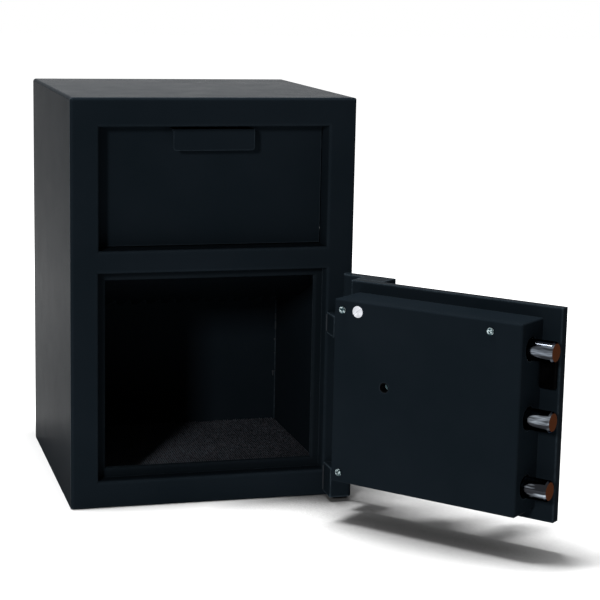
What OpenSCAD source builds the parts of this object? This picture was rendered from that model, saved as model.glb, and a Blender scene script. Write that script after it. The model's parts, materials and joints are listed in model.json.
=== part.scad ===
// Front-loading drop safe: a steel body with a tilt-out deposit hopper above
// and a hinged, three-bolt door below. The door stands open, as on a bench.
// Millimetres. +Z is up, +Y runs from the front face to the back, +X is right.
// The origin is the middle of the base, on the surface that the safe stands on.

/* [Body] */
// Overall width
body_w = 355.6; // [340:0.1:400]
// Overall depth without the hinge blocks
body_d = 355.6; // [330:0.1:420]
// Overall height
body_h = 508; // [455:0.1:600]
// Thickness of the body plates
wall_t = 6; // [3:0.5:7]
// Outside radius of the two bends along the top
bend_r = 4; // [3:0.5:12]
// Thickness of the front plate
frame_t = 6; // [5:0.5:8]
// Radius on the front plate's edges
edge_r = 3.5; // [1:0.5:4.5]

/* [Door opening] */
// Height of the rail below the door
bottom_rail = 34; // [28:0.5:45]
// Width of the front plate on each side of the door opening
stile_w = 33.8; // [32.8:0.1:40]
// Thickness of the folded returns round both openings
return_t = 3; // [2:0.5:4]
// Depth from the front face to the frame that the door shuts against
stop_y = 21.2; // [21:0.1:24]
// Thickness of that stop frame
stop_t = 5; // [4:0.5:5.5]
// Width of the stop lip on the lock side
stop_lip = 12; // [9:0.5:14]
// Width of the stop lip on the hinge side
stop_lip_hinge = 10.5; // [8:0.1:10.5]
// Height of the stop lip along the top and the bottom
stop_lip_end = 12; // [9:0.5:13]
// Radius on the stop frame's inner edge
stop_edge_r = 3.5; // [1:0.5:4]

/* [Hopper opening] */
// Height of the rail above the hopper opening
top_rail = 35; // [28:0.5:45]
// Height of the rail between the two openings
middle_rail = 27.4; // [24:0.1:30]
// Distance that the hopper opening's sides stand inside the door opening's sides
hopper_side_inset = 0.7; // [0:0.1:3]
// Height of the hopper opening
hopper_opening_h = 150.6; // [146:0.1:152]
// Depth of the folded returns round the hopper opening
hopper_return_y = 48; // [44:1:56]

/* [Hopper] */
// Depth of the hopper panel's face behind the front face
recess_y = 30; // [24:0.5:32]
// Gap round the hopper panel
hopper_gap = 1.8; // [1.2:0.1:2.2]
// Thickness of the hopper panel
hopper_panel_t = 3; // [2:0.5:3]
// Thickness of the hopper's cheeks and tray
hopper_sheet_t = 2; // [1.5:0.5:2.5]
// Gap between a cheek and the return beside it
cheek_gap = 3.3; // [2.5:0.1:5]
// Distance of the pivot behind the panel's face
pivot_back = 7.5; // [7:0.1:7.8]
// Radius of the hopper's pivot pins
pivot_r = 3; // [2:0.1:3.1]
// Radius of the pivot pins' heads
pivot_head_r = 6; // [5:0.5:9]
// Height of the pivot pins' heads
pivot_head_t = 3; // [2:0.5:5]
// Distance from the pivot to the rear edge of the tray
tray_r = 130; // [110:1:132]
// Angle of the tray below the horizontal with the hopper shut
tray_slope = 20; // [16:0.5:22]
// Radius of the cheeks round the pivot
cheek_r = 126; // [100:1:128]
// Reach of the stop toe beyond the inner face of the top return
toe_bite = 1.6; // [1:0.1:3]
// Angle that the stop toe takes up
toe_angle = 6; // [4:0.5:9]
// Angle that the hopper tilts forward
hopper_travel = 45; // [35:1:50]
// Width of the pull lip
lip_w = 101.5; // [70:0.5:130]
// Height of the pull lip
lip_h = 26; // [20:0.5:32]
// Drop of the pull lip's top below the top of the opening
lip_drop = 4; // [4:0.5:12]
// Distance that the pull lip stands out from the panel
lip_out = 20; // [16:0.5:22]
// Thickness of the pull lip
lip_t = 2.5; // [1.5:0.5:3]
// Radius of the pull lip's lower corners
lip_corner_r = 4; // [2:0.5:8]

/* [Baffles] */
// Thickness of the two saw-tooth baffles
baffle_t = 3; // [2:0.5:4]
// Depth of the lower baffle's toothed edge behind the front face
chute_y = 256; // [225:1:275]
// Angle of the lower baffle below the horizontal
chute_slope = 21.8; // [18:0.1:26]
// Length of the lower baffle's teeth
chute_tooth_h = 30; // [10:1:40]
// Offset of the lower baffle's row of teeth from the middle
chute_tooth_shift = -3.3; // [-5:0.1:5]
// Depth of the rear baffle behind the front face
rear_baffle_y = 174; // [172:1:190]
// Drop of the rear baffle's tooth tips below the top of the body
rear_tooth_drop = 150; // [120:1:170]
// Distance between teeth
tooth_pitch = 20.4; // [14:0.1:28]
// Height of the rear baffle's teeth
rear_tooth_h = 10; // [4:0.5:14]

/* [Door] */
// Thickness of the door plate
door_t = 12.7; // [9:0.1:13]
// Gap between the door plate and each side of the opening
door_side_gap = 2; // [1.6:0.1:2.6]
// Gap between the door plate and the top and bottom of the opening
door_end_gap = 3.5; // [2:0.1:5]
// Radius on the door plate's edges
door_edge_r = 1; // [0.5:0.1:1.5]
// Angle at which the door stands open
door_open = 130.6; // [90:0.1:150]
// Thickness of the rubber stop pad
pad_t = 8; // [5:0.5:8]
// Width of the rubber stop pad
pad_w = 19; // [12:0.5:20]
// Height of the rubber stop pad
pad_h = 34; // [20:1:36]

/* [Hinge] */
// Distance of the hinge pins outside the edge of the opening
hinge_out = 23; // [22:0.1:24]
// Distance of the hinge pins in front of the front face
hinge_front = 23.3; // [22:0.1:25]
// Radius of the hinge pins
pin_r = 4.5; // [3:0.1:4.7]
// Radius of the rounded hinge ends round the pins
knuckle_r = 7.5; // [7.2:0.1:9]
// Height of a hinge strap
strap_h = 51; // [40:1:60]
// Length of a strap along the door plate
strap_reach = 37; // [28:1:60]
// Height of the upper body lug
upper_lug_h = 26.2; // [20:0.1:40]
// Height of the lower lug's underside above the floor
lower_lug_z = 6; // [3:0.5:12]
// Width of a lug between the edge of the opening and the pin's centre line
lug_in = 21.5; // [16:0.5:22]
// Thickness of the thrust washers
washer_t = 1.2; // [0.8:0.1:2]
// Radius of the thrust washers
washer_r = 7.2; // [6:0.1:7.2]

/* [Bolt work] */
// Diameter of the locking bolts
bolt_d = 25; // [18:0.5:25]
// Distance from the door plate's top and bottom edges to the outer bolts' centre lines
bolt_inset = 46.2; // [45:0.1:52]
// Reach of the thrown bolts beyond the edge of the door plate
bolt_out = 6.7; // [4:0.1:12]
// Travel of the bolts
bolt_throw = 24; // [20:1:26]
// Length of a bolt
bolt_len = 61; // [56:1:64]
// Chamfer at the bolt tips
bolt_chamfer = 2; // [1:0.5:3]
// Distance from the door plate's inner face to the bolts' centre lines
bolt_back = 27; // [27:0.5:30]
// Thickness of the bar that carries the bolts
bar_t = 12; // [10:1:14]
// Depth of that bar
bar_d = 20; // [16:1:22]
// Thickness of the drive plate and the guide tabs on the bar
drive_t = 4; // [3:0.5:4]
// Radius of the crank pin that drives the bolts
crank_pin_r = 4; // [3:0.5:5]
// Radius of the studs that guide the bar
stud_r = 4; // [3:0.5:5]
// Thickness of the bolt guide plate
guide_t = 6; // [4:0.5:8]

/* [Bolt cover] */
// Distance from the plate's lock edge to the cover
cover_free_inset = 24.1; // [22:0.1:30]
// Distance from the plate's hinge edge to the cover
cover_hinge_inset = 9.7; // [9.7:0.1:14]
// Distance from the plate's top and bottom edges to the cover
cover_end_inset = 14; // [13.5:0.1:18]
// Depth of the cover
cover_d = 52; // [50:0.5:58]
// Thickness of the cover's sheet
cover_t = 2; // [1:0.5:2.5]
// Radius on the cover's folded edges
cover_edge_r = 2.5; // [1:0.5:4]
// Radius of the clearance holes round the bolts
bolt_hole_r = 14.5; // [13.5:0.1:16]
// Distance of the cover screws from the cover's top and bottom edges
screw_end_inset = 12.7; // [10:0.1:16]
// Distance of the hinge-side cover screws from the cover's edge
screw_hinge_inset = 12; // [10:0.5:16]
// Distance of the lock-side cover screw from the cover's edge
screw_free_inset = 39.6; // [30:0.1:45]
// Radius of the cover screws' heads
cover_head_r = 4.25; // [3:0.05:5]
// Radius of the cover screws' shanks
cover_shank_r = 2.4; // [1.5:0.1:2.8]
// Radius of the posts that the cover is screwed to
post_r = 5; // [4:0.5:7]
// Radius of the slotted plug in the cover
plug_r = 7; // [5:0.5:9]
// Distance of the slotted plug from the cover's hinge edge
plug_inset = 33; // [28:0.5:45]
// Radius of the change-key hole
key_hole_r = 5; // [3:0.1:6]
// Wall of the bush in the change-key hole
key_bush_t = 1.2; // [0.8:0.1:2]

/* [Lock] */
// Distance between the handle's centre and the dial's centre
dial_lead = 73; // [68:0.5:80]
// Height of the dial above the middle of the door plate
dial_rise = 13.7; // [0:0.1:20]
// Distance of the change-key hole beside the dial's centre
key_hole_out = 27; // [20:0.5:32]
// Radius of the dial
dial_r = 36; // [28:0.5:40]
// Radius of the dial's spindle
dial_spindle_r = 3.8; // [3:0.1:5]
// Length of the lock case
case_l = 82; // [74:1:88]
// Width of the lock case
case_w = 61; // [54:1:66]
// Thickness of the lock case
case_t = 28; // [24:1:32]
// Distance from the lock case's bolt end to the dial's centre
case_lead = 29; // [24:1:34]
// Length of the lock's own bolt
lock_bolt_l = 28; // [22:1:32]
// Height of the lock's own bolt
lock_bolt_h = 22; // [16:1:26]
// Thickness of the lock's own bolt
lock_bolt_t = 9.8; // [6:0.1:12]
// Reach of the lock's own bolt beyond the case, drawn back
lock_bolt_out = 4; // [2:0.5:5]
// Thickness of the hard plate behind the lock
hard_t = 3; // [2:0.5:4]

/* [Handle] */
// Distance from the bar that carries the bolts to the handle's centre
handle_lead = 35.7; // [33:0.1:40]
// Length of the handle's arm
handle_l = 92; // [70:1:105]
// Radius of the handle's hub
handle_hub_r = 17; // [13:0.5:20]
// Distance that the handle stands out from the door plate
handle_out = 54; // [46:1:64]
// Thickness of the handle's arm
handle_arm_t = 12; // [8:0.5:14]
// Distance that the arm is cranked outward past the hub
handle_crank_out = 8; // [4:0.5:12]
// Radius of the arm's round tip
handle_tip_r = 8; // [6:0.5:10]
// Radius of the handle's spindle
handle_spindle_r = 6; // [4:0.5:7]

/* [Base] */
// Radius of the anchor holes
anchor_r = 7; // [5:0.5:9]
// Distance between anchor holes across the width
anchor_pitch_x = 230; // [180:1:260]
// Distance between anchor holes along the depth
anchor_pitch_y = 200; // [160:1:240]
// Thickness of the carpet
carpet_t = 7; // [4:0.5:10]

/* [Hidden] */
$fn = 48;
eps = 0.01;
// Radial clearances: a shaft that turns, a piece that is driven in, and a loose hole
run_clear = 0.06;
seat_clear = 0.02;
loose_clear = 0.5;
soft_clear = 0.3;
rest_clear = 0.1;

half_w = body_w / 2;
inner_w = half_w - wall_t;
// The two openings share the front plate's height with its three rails
hopper_open_z = [body_h - top_rail - hopper_opening_h, body_h - top_rail];
hopper_open_x = half_w - stile_w - hopper_side_inset;
door_open_z = [bottom_rail, hopper_open_z[0] - middle_rail];
door_open_x = half_w - stile_w;

// The stop frame's inner edges
stop_in_x = [-door_open_x + stop_lip, door_open_x - stop_lip_hinge];
stop_in_z = [door_open_z[0] + stop_lip_end, door_open_z[1] - stop_lip_end];
stop_back_y = stop_y + stop_t;

// The door plate as it lies when shut, flush with the front face
plate_x = [-door_open_x + door_side_gap, door_open_x - door_side_gap];
plate_z = [door_open_z[0] + door_end_gap, door_open_z[1] - door_end_gap];
plate_mid_z = (plate_z[0] + plate_z[1]) / 2;
hinge_x = door_open_x + hinge_out;
hinge_y = -hinge_front;
strap_y = [hinge_y - knuckle_r, 0];
strap_step = 8;
upper_strap_z = [plate_z[1] - strap_h, plate_z[1]];
lower_strap_z = [plate_z[0] + strap_step, plate_z[0] + strap_step + strap_h];
pin_grip = 30;
pin_foot = 4;
lug_x0 = hinge_x - lug_in;
upper_lug_z = [upper_strap_z[0] - rest_clear - washer_t - upper_lug_h, upper_strap_z[0] - rest_clear - washer_t];
lower_lug_top = lower_strap_z[0] - rest_clear - washer_t;

// The bolt cover, on the door plate's inner face
cover_x = [plate_x[0] + cover_free_inset, plate_x[1] - cover_hinge_inset];
cover_y = [door_t, door_t + cover_d];
cover_z = [plate_z[0] + cover_end_inset, plate_z[1] - cover_end_inset];
cover_in_y = cover_y[1] - cover_t;
screw_z = [cover_z[0] + screw_end_inset, cover_z[1] - screw_end_inset];
screw_hinge_x = cover_x[1] - screw_hinge_inset;
screw_free_x = cover_x[0] + screw_free_inset;
cover_screw_places = [
    [screw_hinge_x, screw_z[0]],
    [screw_hinge_x, screw_z[1]],
    [screw_free_x, screw_z[1]]
];
screw_head_t = 2.4;
screw_grip = 10;
screw_relief = 2;
plug_place = [cover_x[1] - plug_inset, screw_z[1]];
plug_proud = 0.6;
plug_collar = 1.5;

// The bolts and the bar behind them, thrown
bolt_r = bolt_d / 2;
bolt_y = door_t + bolt_back;
bolt_pitch = (plate_z[1] - plate_z[0]) / 2 - bolt_inset;
bolt_z = [plate_mid_z - bolt_pitch, plate_mid_z, plate_mid_z + bolt_pitch];
bolt_tip_x = plate_x[0] - bolt_out;
bolt_screw_r = 4;
bolt_screw_l = 18;
bolt_screw_head_r = bolt_screw_r + 1.5;
bolt_screw_head_t = 4;
bar_x = [bolt_tip_x + bolt_len, bolt_tip_x + bolt_len + bar_t];
bar_overhang = 12;
bar_z = [bolt_z[0] - bar_overhang, bolt_z[2] + bar_overhang];
guide_x = cover_x[0] + cover_t + 4;
guide_overhang = 20;
guide_foot_w = 10;
guide_foot_t = 3;

// The crank: a pin that swings a quarter turn and carries the bar along
handle_x = bar_x[1] + handle_lead;
handle_z = plate_mid_z;
crank_arm = bolt_throw / sqrt(2);
crank_y = [door_t + 1, door_t + 8];
drive_y = [bolt_y - bar_d / 2 - eps, bolt_y - bar_d / 2 + drive_t];
crank_slot_play = 0.7;
slot_half = crank_pin_r + crank_slot_play;
slot_margin = 8;
crank_disc_r = crank_arm + crank_pin_r + 3;
tab_margin = 6;
stud_z = [plate_mid_z - 0.75 * bolt_pitch, plate_mid_z + 0.75 * bolt_pitch];
stud_x = bar_x[1] + tab_margin + stud_r + bolt_throw;
stud_play = 0.3;
stud_head_r = stud_r + 3;
stud_head_t = 3;

// The lock
dial_x = handle_x + dial_lead;
dial_z = plate_mid_z + dial_rise;
case_x = [dial_x - case_lead, dial_x - case_lead + case_l];
case_y = [door_t + hard_t, door_t + hard_t + case_t];
case_z = [dial_z - case_w / 2, dial_z + case_w / 2];
lock_bolt_y = [(case_y[0] + case_y[1] - lock_bolt_t) / 2, (case_y[0] + case_y[1] + lock_bolt_t) / 2];
lock_bolt_z = [dial_z - lock_bolt_h / 2, dial_z + lock_bolt_h / 2];
lock_bolt_x = [case_x[0] - lock_bolt_out, case_x[0] - lock_bolt_out + lock_bolt_l];
key_hole_x = dial_x + key_hole_out;
case_screw_inset = 8;
case_screw_r = 3;
case_screw_head_r = case_screw_r + 2;
case_screw_head_t = 2.5;
hard_margin = 3;
dial_ring_r = dial_r + 6;
dial_ring_t = 9;
dial_ring_lap = 12;
dial_sink = 3;
dial_face_y = -dial_ring_t - 1;

// The handle's hub stands on the rose; the arm's two levels, measured outward
rose_t = 5;
hub_y = [-handle_out + handle_crank_out, -rose_t - 0.2];
arm_level_y = [hub_y[0], hub_y[0] + handle_arm_t];

// The hopper's pivot, seen from the side as [y, z]
pivot_y = recess_y + pivot_back;
// Just high enough for the panel's foot to swing back over the ledge
foot_play = 1.5;
pivot_rise = (pivot_back * pivot_back + hopper_gap * hopper_gap) / (2 * hopper_gap) + foot_play;
pivot_z = hopper_open_z[0] + pivot_rise;
panel_x = hopper_open_x - hopper_gap;
panel_z = [hopper_open_z[0] + hopper_gap, hopper_open_z[1] - hopper_gap];
cheek_x = hopper_open_x - cheek_gap;
cheek_in_x = cheek_x - hopper_sheet_t;
pivot_boss_r = pivot_r + 5;
hopper_stop_t = 3;
hopper_stop_h = 6;
// Direction from the pivot to the rear edge of the top return
stop_dir = atan2(hopper_open_z[1] - pivot_z, hopper_return_y - pivot_y);
toe_r = norm([hopper_open_z[1] - pivot_z, hopper_return_y - pivot_y]) + toe_bite;
toe_lead = stop_dir - hopper_travel - 1;
lip_top_z = hopper_open_z[1] - lip_drop;
lip_y = recess_y - lip_out;

// The lower baffle lies on the door opening's top return, then slopes down to the back
deck_z = door_open_z[1] + return_t;
chute_bend_r = 4;
chute_bend_steps = 6;
chute_bend_y = stop_back_y + 2;
chute_l = (chute_y - chute_bend_y - chute_bend_r * sin(chute_slope)) / cos(chute_slope);
chute_spare = 1;

steel_paint = [0.10, 0.125, 0.15];
inner_paint = [0.12, 0.145, 0.17];
bright = [0.75, 0.77, 0.80];
dark_steel = [0.42, 0.43, 0.45];

// Placing: depths are measured from the front face, and the door's pieces are
// drawn as they lie when the door is shut, then swung open about the hinge pins.

module at_front() {
    translate([0, -body_d / 2, 0]) children();
}

module on_door() {
    at_front()
        translate([hinge_x, hinge_y, 0])
            rotate(door_open)
                translate([-hinge_x, -hinge_y, 0])
                    children();
}

// Plain shapes, each given by its ends along an axis

module slab(x, y, z) {
    translate([x[0], y[0], z[0]]) cube([x[1] - x[0], y[1] - y[0], z[1] - z[0]]);
}

module rod_x(x, y, z, r) {
    translate([x[0], y, z]) rotate([0, 90, 0]) cylinder(h = x[1] - x[0], r = r);
}

module rod_y(x, y, z, r) {
    translate([x, y[0], z]) rotate([-90, 0, 0]) cylinder(h = y[1] - y[0], r = r);
}

module rod_z(x, y, z, r) {
    translate([x, y, z[0]]) cylinder(h = z[1] - z[0], r = r);
}

// A flat shape drawn as [x, z], standing up between two depths
module upright(y) {
    translate([0, y[1], 0]) rotate([90, 0, 0]) linear_extrude(y[1] - y[0]) children();
}

// A side view drawn as [y, z], drawn out between two places across the width
module across(x) {
    translate([x[0], 0, 0])
        rotate([90, 0, 90])
            linear_extrude(x[1] - x[0])
                children();
}

// A flat rectangle with rounded corners, given by its ends along both ways
module round_rect(u, v, r) {
    translate([u[0] + r, v[0]]) square([u[1] - u[0] - 2 * r, v[1] - v[0]]);
    translate([u[0], v[0] + r]) square([u[1] - u[0], v[1] - v[0] - 2 * r]);
    for (a = [u[0] + r, u[1] - r], b = [v[0] + r, v[1] - r]) translate([a, b]) circle(r);
}

// A box with all its edges rounded
module soft_box(x, y, z, r) {
    intersection() {
        upright(y) round_rect(x, z, r);
        across(x) round_rect(y, z, r);
        translate([0, 0, z[0]]) linear_extrude(z[1] - z[0]) round_rect(x, y, r);
    }
}

// A window through a plate whose front face is at y0, flared for its rounded edge
module window_cut(x, y0, depth, z, r) {
    slab(x, [y0 - 1, y0 + depth + 1], z);
    slab([x[0] - r, x[1] + r], [y0 - 1, y0 + r], [z[0] - r, z[1] + r]);
}

// The rounded edge that fills that flare, a quarter round along each side
module window_edge(x, y0, z, r) {
    intersection() {
        union() {
            for (c = [z[0] - r, z[1] + r]) rod_x([x[0] - r, x[1] + r], y0 + r, c, r);
            for (a = [x[0] - r, x[1] + r]) rod_z(a, y0 + r, [z[0] - r, z[1] + r], r);
        }
        slab([x[0] - r, x[1] + r], [y0, y0 + r], [z[0] - r, z[1] + r]);
    }
}

// Four walls folded back round a window
module returns(x, y, z) {
    difference() {
        slab([x[0] - return_t, x[1] + return_t], y, [z[0] - return_t, z[1] + return_t]);
        slab(x, [y[0] - 1, y[1] + 1], z);
    }
}

// The fixed body

module wrap_outline() {
    difference() {
        union() {
            translate([-half_w, 0]) square([body_w, body_h - bend_r]);
            translate([-half_w + bend_r, 0]) square([body_w - 2 * bend_r, body_h]);
            for (s = [-1, 1]) translate([s * (half_w - bend_r), body_h - bend_r]) circle(bend_r);
        }
        translate([-inner_w, -1]) square([2 * inner_w, body_h - wall_t + 1]);
    }
}

module body_wrap() {
    color(steel_paint) at_front() upright([frame_t, body_d]) wrap_outline();
}

module anchor_holes(z) {
    for (sx = [-1, 1], sy = [-1, 1])
        rod_z(sx * anchor_pitch_x / 2, sy * anchor_pitch_y / 2, z, anchor_r);
}

module bottom_plate() {
    color(steel_paint)
        difference() {
            at_front() slab([-inner_w, inner_w], [frame_t, body_d], [0, wall_t]);
            anchor_holes([-1, wall_t + 1]);
        }
}

module back_plate() {
    color(steel_paint)
        at_front()
            slab([-inner_w, inner_w], [body_d - wall_t, body_d], [wall_t, body_h - wall_t]);
}

module front_frame() {
    door_x = [-door_open_x, door_open_x];
    hopper_x = [-hopper_open_x, hopper_open_x];
    color(steel_paint)
        at_front()
            difference() {
                union() {
                    difference() {
                        front_plate_blank();
                        window_cut(door_x, 0, frame_t, door_open_z, edge_r);
                        window_cut(hopper_x, 0, frame_t, hopper_open_z, edge_r);
                    }
                    window_edge(door_x, 0, door_open_z, edge_r);
                    window_edge(hopper_x, 0, hopper_open_z, edge_r);
                    returns(door_x, [frame_t, stop_y], door_open_z);
                    returns(hopper_x, [frame_t, hopper_return_y], hopper_open_z);
                }
                for (s = [-1, 1])
                    rod_x(
                        [s * (hopper_open_x + return_t / 2) - return_t, s * (hopper_open_x + return_t / 2) + return_t],
                        pivot_y, pivot_z, pivot_r + seat_clear
                    );
            }
}

// The front plate before its windows, with its front edges rounded
module front_plate_blank() {
    intersection() {
        soft_box([-half_w, half_w], [0, frame_t + edge_r], [0, body_h], edge_r);
        slab([-half_w, half_w], [0, frame_t], [0, body_h]);
    }
}

// A strip across the top of the opening that the shut panel rests against
module hopper_stop() {
    y0 = recess_y + hopper_panel_t + soft_clear;
    color(inner_paint)
        at_front()
            slab(
                [-hopper_open_x, hopper_open_x],
                [y0, y0 + hopper_stop_t],
                [hopper_open_z[1] - hopper_stop_h, hopper_open_z[1]]
            );
}

module stop_frame() {
    outer_x = [-door_open_x - return_t, door_open_x + return_t];
    outer_z = [door_open_z[0] - return_t, door_open_z[1] + return_t];
    color(inner_paint)
        at_front() {
            difference() {
                slab(outer_x, [stop_y, stop_back_y], outer_z);
                window_cut(stop_in_x, stop_y, stop_t, stop_in_z, stop_edge_r);
            }
            window_edge(stop_in_x, stop_y, stop_in_z, stop_edge_r);
        }
}

// A row of blunt teeth from side to side, as [across, height above the tips]
function tooth_row(half, tooth_h, shift) =
    let (
        count = floor(2 * (half - abs(shift)) / tooth_pitch),
        start = shift - count * tooth_pitch / 2
    )
    concat(
        [[-half, tooth_h]],
        [for (i = [0 : count - 1], p = [[0, 1], [0.3, 0], [0.7, 0]])
            [start + (i + p[0]) * tooth_pitch, p[1] * tooth_h]],
        [[start + count * tooth_pitch, tooth_h], [half, tooth_h]]
    );

// The lower baffle from the side, as [y, z]: a level flange, a bend and the slope
function chute_bend(r) = [
    for (i = [0 : chute_bend_steps])
        let (turn = chute_slope * i / chute_bend_steps)
        [chute_bend_y + r * sin(turn), deck_z - chute_bend_r + r * cos(turn)]
];

function chute_end(r) =
    chute_bend(r)[chute_bend_steps] + (chute_l + chute_spare) * [cos(chute_slope), -sin(chute_slope)];

module chute_side() {
    outer_r = chute_bend_r + baffle_t;
    under = chute_bend(chute_bend_r);
    polygon(concat(
        [[frame_t, deck_z + baffle_t]],
        chute_bend(outer_r),
        [chute_end(outer_r), chute_end(chute_bend_r)],
        [for (i = [chute_bend_steps : -1 : 0]) under[i]],
        [[frame_t, deck_z]]
    ));
}

// Everything beyond the teeth, in the plane of the slope
module chute_teeth_cut() {
    side_x = inner_w + chute_spare;
    polygon(concat(
        [for (p = tooth_row(inner_w, chute_tooth_h, chute_tooth_shift)) [p[0], chute_l - p[1]]],
        [[side_x, chute_l - chute_tooth_h], [side_x, chute_l + 2 * chute_spare]],
        [[-side_x, chute_l + 2 * chute_spare], [-side_x, chute_l - chute_tooth_h]]
    ));
}

module toothed_baffle() {
    foot = chute_bend(chute_bend_r)[chute_bend_steps];
    color(inner_paint)
        at_front()
            difference() {
                across([-inner_w, inner_w]) chute_side();
                translate([0, foot[0], foot[1]])
                    rotate([-chute_slope, 0, 0])
                        translate([0, 0, -baffle_t])
                            linear_extrude(3 * baffle_t) chute_teeth_cut();
            }
}

module rear_baffle() {
    strip_h = rear_tooth_drop - wall_t;
    color(inner_paint)
        at_front()
            translate([0, 0, body_h - rear_tooth_drop])
                upright([rear_baffle_y, rear_baffle_y + baffle_t])
                    polygon(concat(
                        [[-inner_w, strip_h]],
                        tooth_row(inner_w, rear_tooth_h, 0),
                        [[inner_w, strip_h]]
                    ));
}

// The carpet lies over the anchor holes and lifts out
module carpet() {
    color([0.14, 0.14, 0.16])
        at_front()
            slab(
                [-inner_w + soft_clear, inner_w - soft_clear],
                [stop_back_y + 1, body_d - wall_t - soft_clear],
                [wall_t + soft_clear, wall_t + soft_clear + carpet_t]
            );
}

// The hinge, seen from above

module lug_outline() {
    front_y = hinge_y - knuckle_r;
    translate([lug_x0, front_y]) square([hinge_x - lug_x0, -front_y]);
    translate([lug_x0, hinge_y]) square([hinge_x + knuckle_r - lug_x0, -hinge_y]);
    translate([hinge_x, hinge_y]) circle(knuckle_r);
}

module hinge_lug(z) {
    color(steel_paint)
        at_front()
            difference() {
                translate([0, 0, z[0]]) linear_extrude(z[1] - z[0]) lug_outline();
                rod_z(hinge_x, hinge_y, [z[0] + pin_foot, z[1] + 1], pin_r + seat_clear);
            }
}

module upper_hinge_lug() {
    hinge_lug(upper_lug_z);
}

module lower_hinge_lug() {
    hinge_lug([lower_lug_z, lower_lug_top]);
}

module hinge_pins() {
    color(bright)
        at_front()
            for (z = [[upper_lug_z[0], upper_strap_z[0]], [lower_lug_z, lower_strap_z[0]]])
                rod_z(hinge_x, hinge_y, [z[0] + pin_foot, z[1] + pin_grip], pin_r);
}

module thrust_washers() {
    color([0.72, 0.58, 0.28])
        at_front()
            for (top = [upper_lug_z[1], lower_lug_top])
                difference() {
                    rod_z(hinge_x, hinge_y, [top, top + washer_t], washer_r);
                    rod_z(hinge_x, hinge_y, [top - 1, top + washer_t + 1], pin_r + run_clear);
                }
}

// A strap: a thick pad welded to the door plate, then a tongue round the pin
module hinge_strap(z) {
    tongue_y = hinge_y + knuckle_r;
    color(steel_paint)
        on_door()
            difference() {
                translate([0, 0, z[0]])
                    linear_extrude(z[1] - z[0]) {
                        translate([plate_x[1] - strap_reach, strap_y[0]]) square([strap_reach, -strap_y[0]]);
                        translate([plate_x[1] - strap_reach, strap_y[0]])
                            square([hinge_x - plate_x[1] + strap_reach, tongue_y - strap_y[0]]);
                        translate([hinge_x, hinge_y]) circle(knuckle_r);
                    }
                rod_z(hinge_x, hinge_y, [z[0] - 1, z[0] + pin_grip + 1], pin_r + run_clear);
            }
}

module upper_hinge_strap() {
    hinge_strap(upper_strap_z);
}

module lower_hinge_strap() {
    hinge_strap(lower_strap_z);
}

// The door

module door_plate() {
    color(steel_paint)
        on_door()
            difference() {
                soft_box(plate_x, [0, door_t], plate_z, door_edge_r);
                rod_y(dial_x, [-1, door_t + 1], dial_z, dial_spindle_r + loose_clear);
                rod_y(handle_x, [-1, door_t + 1], handle_z, handle_spindle_r + run_clear);
            }
}

module stop_pad() {
    x0 = plate_x[0] + 3;
    top_z = bolt_z[2] - bolt_r - 1.5;
    color([0.03, 0.03, 0.035])
        on_door()
            slab([x0, x0 + pad_w], [door_t, door_t + pad_t], [top_z - pad_h, top_z]);
}

module bolt_cover() {
    color(steel_paint)
        on_door()
            difference() {
                intersection() {
                    soft_box(cover_x, [cover_y[0] - cover_edge_r, cover_y[1]], cover_z, cover_edge_r);
                    slab(cover_x, cover_y, cover_z);
                }
                slab(
                    [cover_x[0] + cover_t, cover_x[1] - cover_t],
                    [cover_y[0] - 1, cover_in_y],
                    [cover_z[0] + cover_t, cover_z[1] - cover_t]
                );
                for (z = bolt_z) rod_x([cover_x[0] - 1, cover_x[0] + cover_t + 1], bolt_y, z, bolt_hole_r);
                for (p = cover_screw_places)
                    rod_y(p[0], [cover_in_y - 1, cover_y[1] + 1], p[1], cover_shank_r + loose_clear);
                rod_y(plug_place[0], [cover_in_y - 1, cover_y[1] + 1], plug_place[1], plug_r + seat_clear);
                rod_y(key_hole_x, [cover_in_y - 1, cover_y[1] + 1], dial_z, key_hole_r + key_bush_t + seat_clear);
            }
}

module cover_posts() {
    color(bright)
        on_door()
            for (p = cover_screw_places)
                difference() {
                    rod_y(p[0], [door_t, cover_in_y], p[1], post_r);
                    rod_y(
                        p[0], [cover_in_y - screw_grip - screw_relief, cover_in_y + 1],
                        p[1], cover_shank_r + seat_clear
                    );
                }
}

// Pan heads with a cross recess
module cover_screws() {
    dome_h = 0.8;
    recess = [cover_head_r, 2, 0.9];
    color(bright)
        on_door()
            for (p = cover_screw_places)
                difference() {
                    union() {
                        rod_y(p[0], [cover_in_y - screw_grip, cover_y[1]], p[1], cover_shank_r);
                        rod_y(p[0], [cover_y[1], cover_y[1] + screw_head_t - dome_h], p[1], cover_head_r);
                        rod_y(p[0], [cover_y[1], cover_y[1] + screw_head_t], p[1], cover_head_r - dome_h);
                    }
                    for (turn = [0, 90])
                        translate([p[0], cover_y[1] + screw_head_t, p[1]])
                            rotate([0, turn, 0])
                                cube(recess, center = true);
                }
}

// A disc with a slot across its face and a collar behind the sheet
module cover_plug() {
    face_y = cover_y[1] + plug_proud;
    slot = [2 * plug_r + 1, 1.6, 1.4];
    slot_turn = 40;
    color(bright)
        on_door()
            difference() {
                union() {
                    rod_y(plug_place[0], [cover_in_y - 5, face_y], plug_place[1], plug_r);
                    rod_y(plug_place[0], [cover_in_y - 2, cover_in_y], plug_place[1], plug_r + plug_collar);
                }
                translate([plug_place[0], face_y, plug_place[1]])
                    rotate([0, slot_turn, 0])
                        cube(slot, center = true);
            }
}

module key_hole_bush() {
    color(bright)
        on_door()
            difference() {
                rod_y(key_hole_x, [case_y[1], cover_y[1]], dial_z, key_hole_r + key_bush_t);
                rod_y(key_hole_x, [case_y[1] + 3, cover_y[1] + 1], dial_z, key_hole_r);
            }
}

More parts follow.
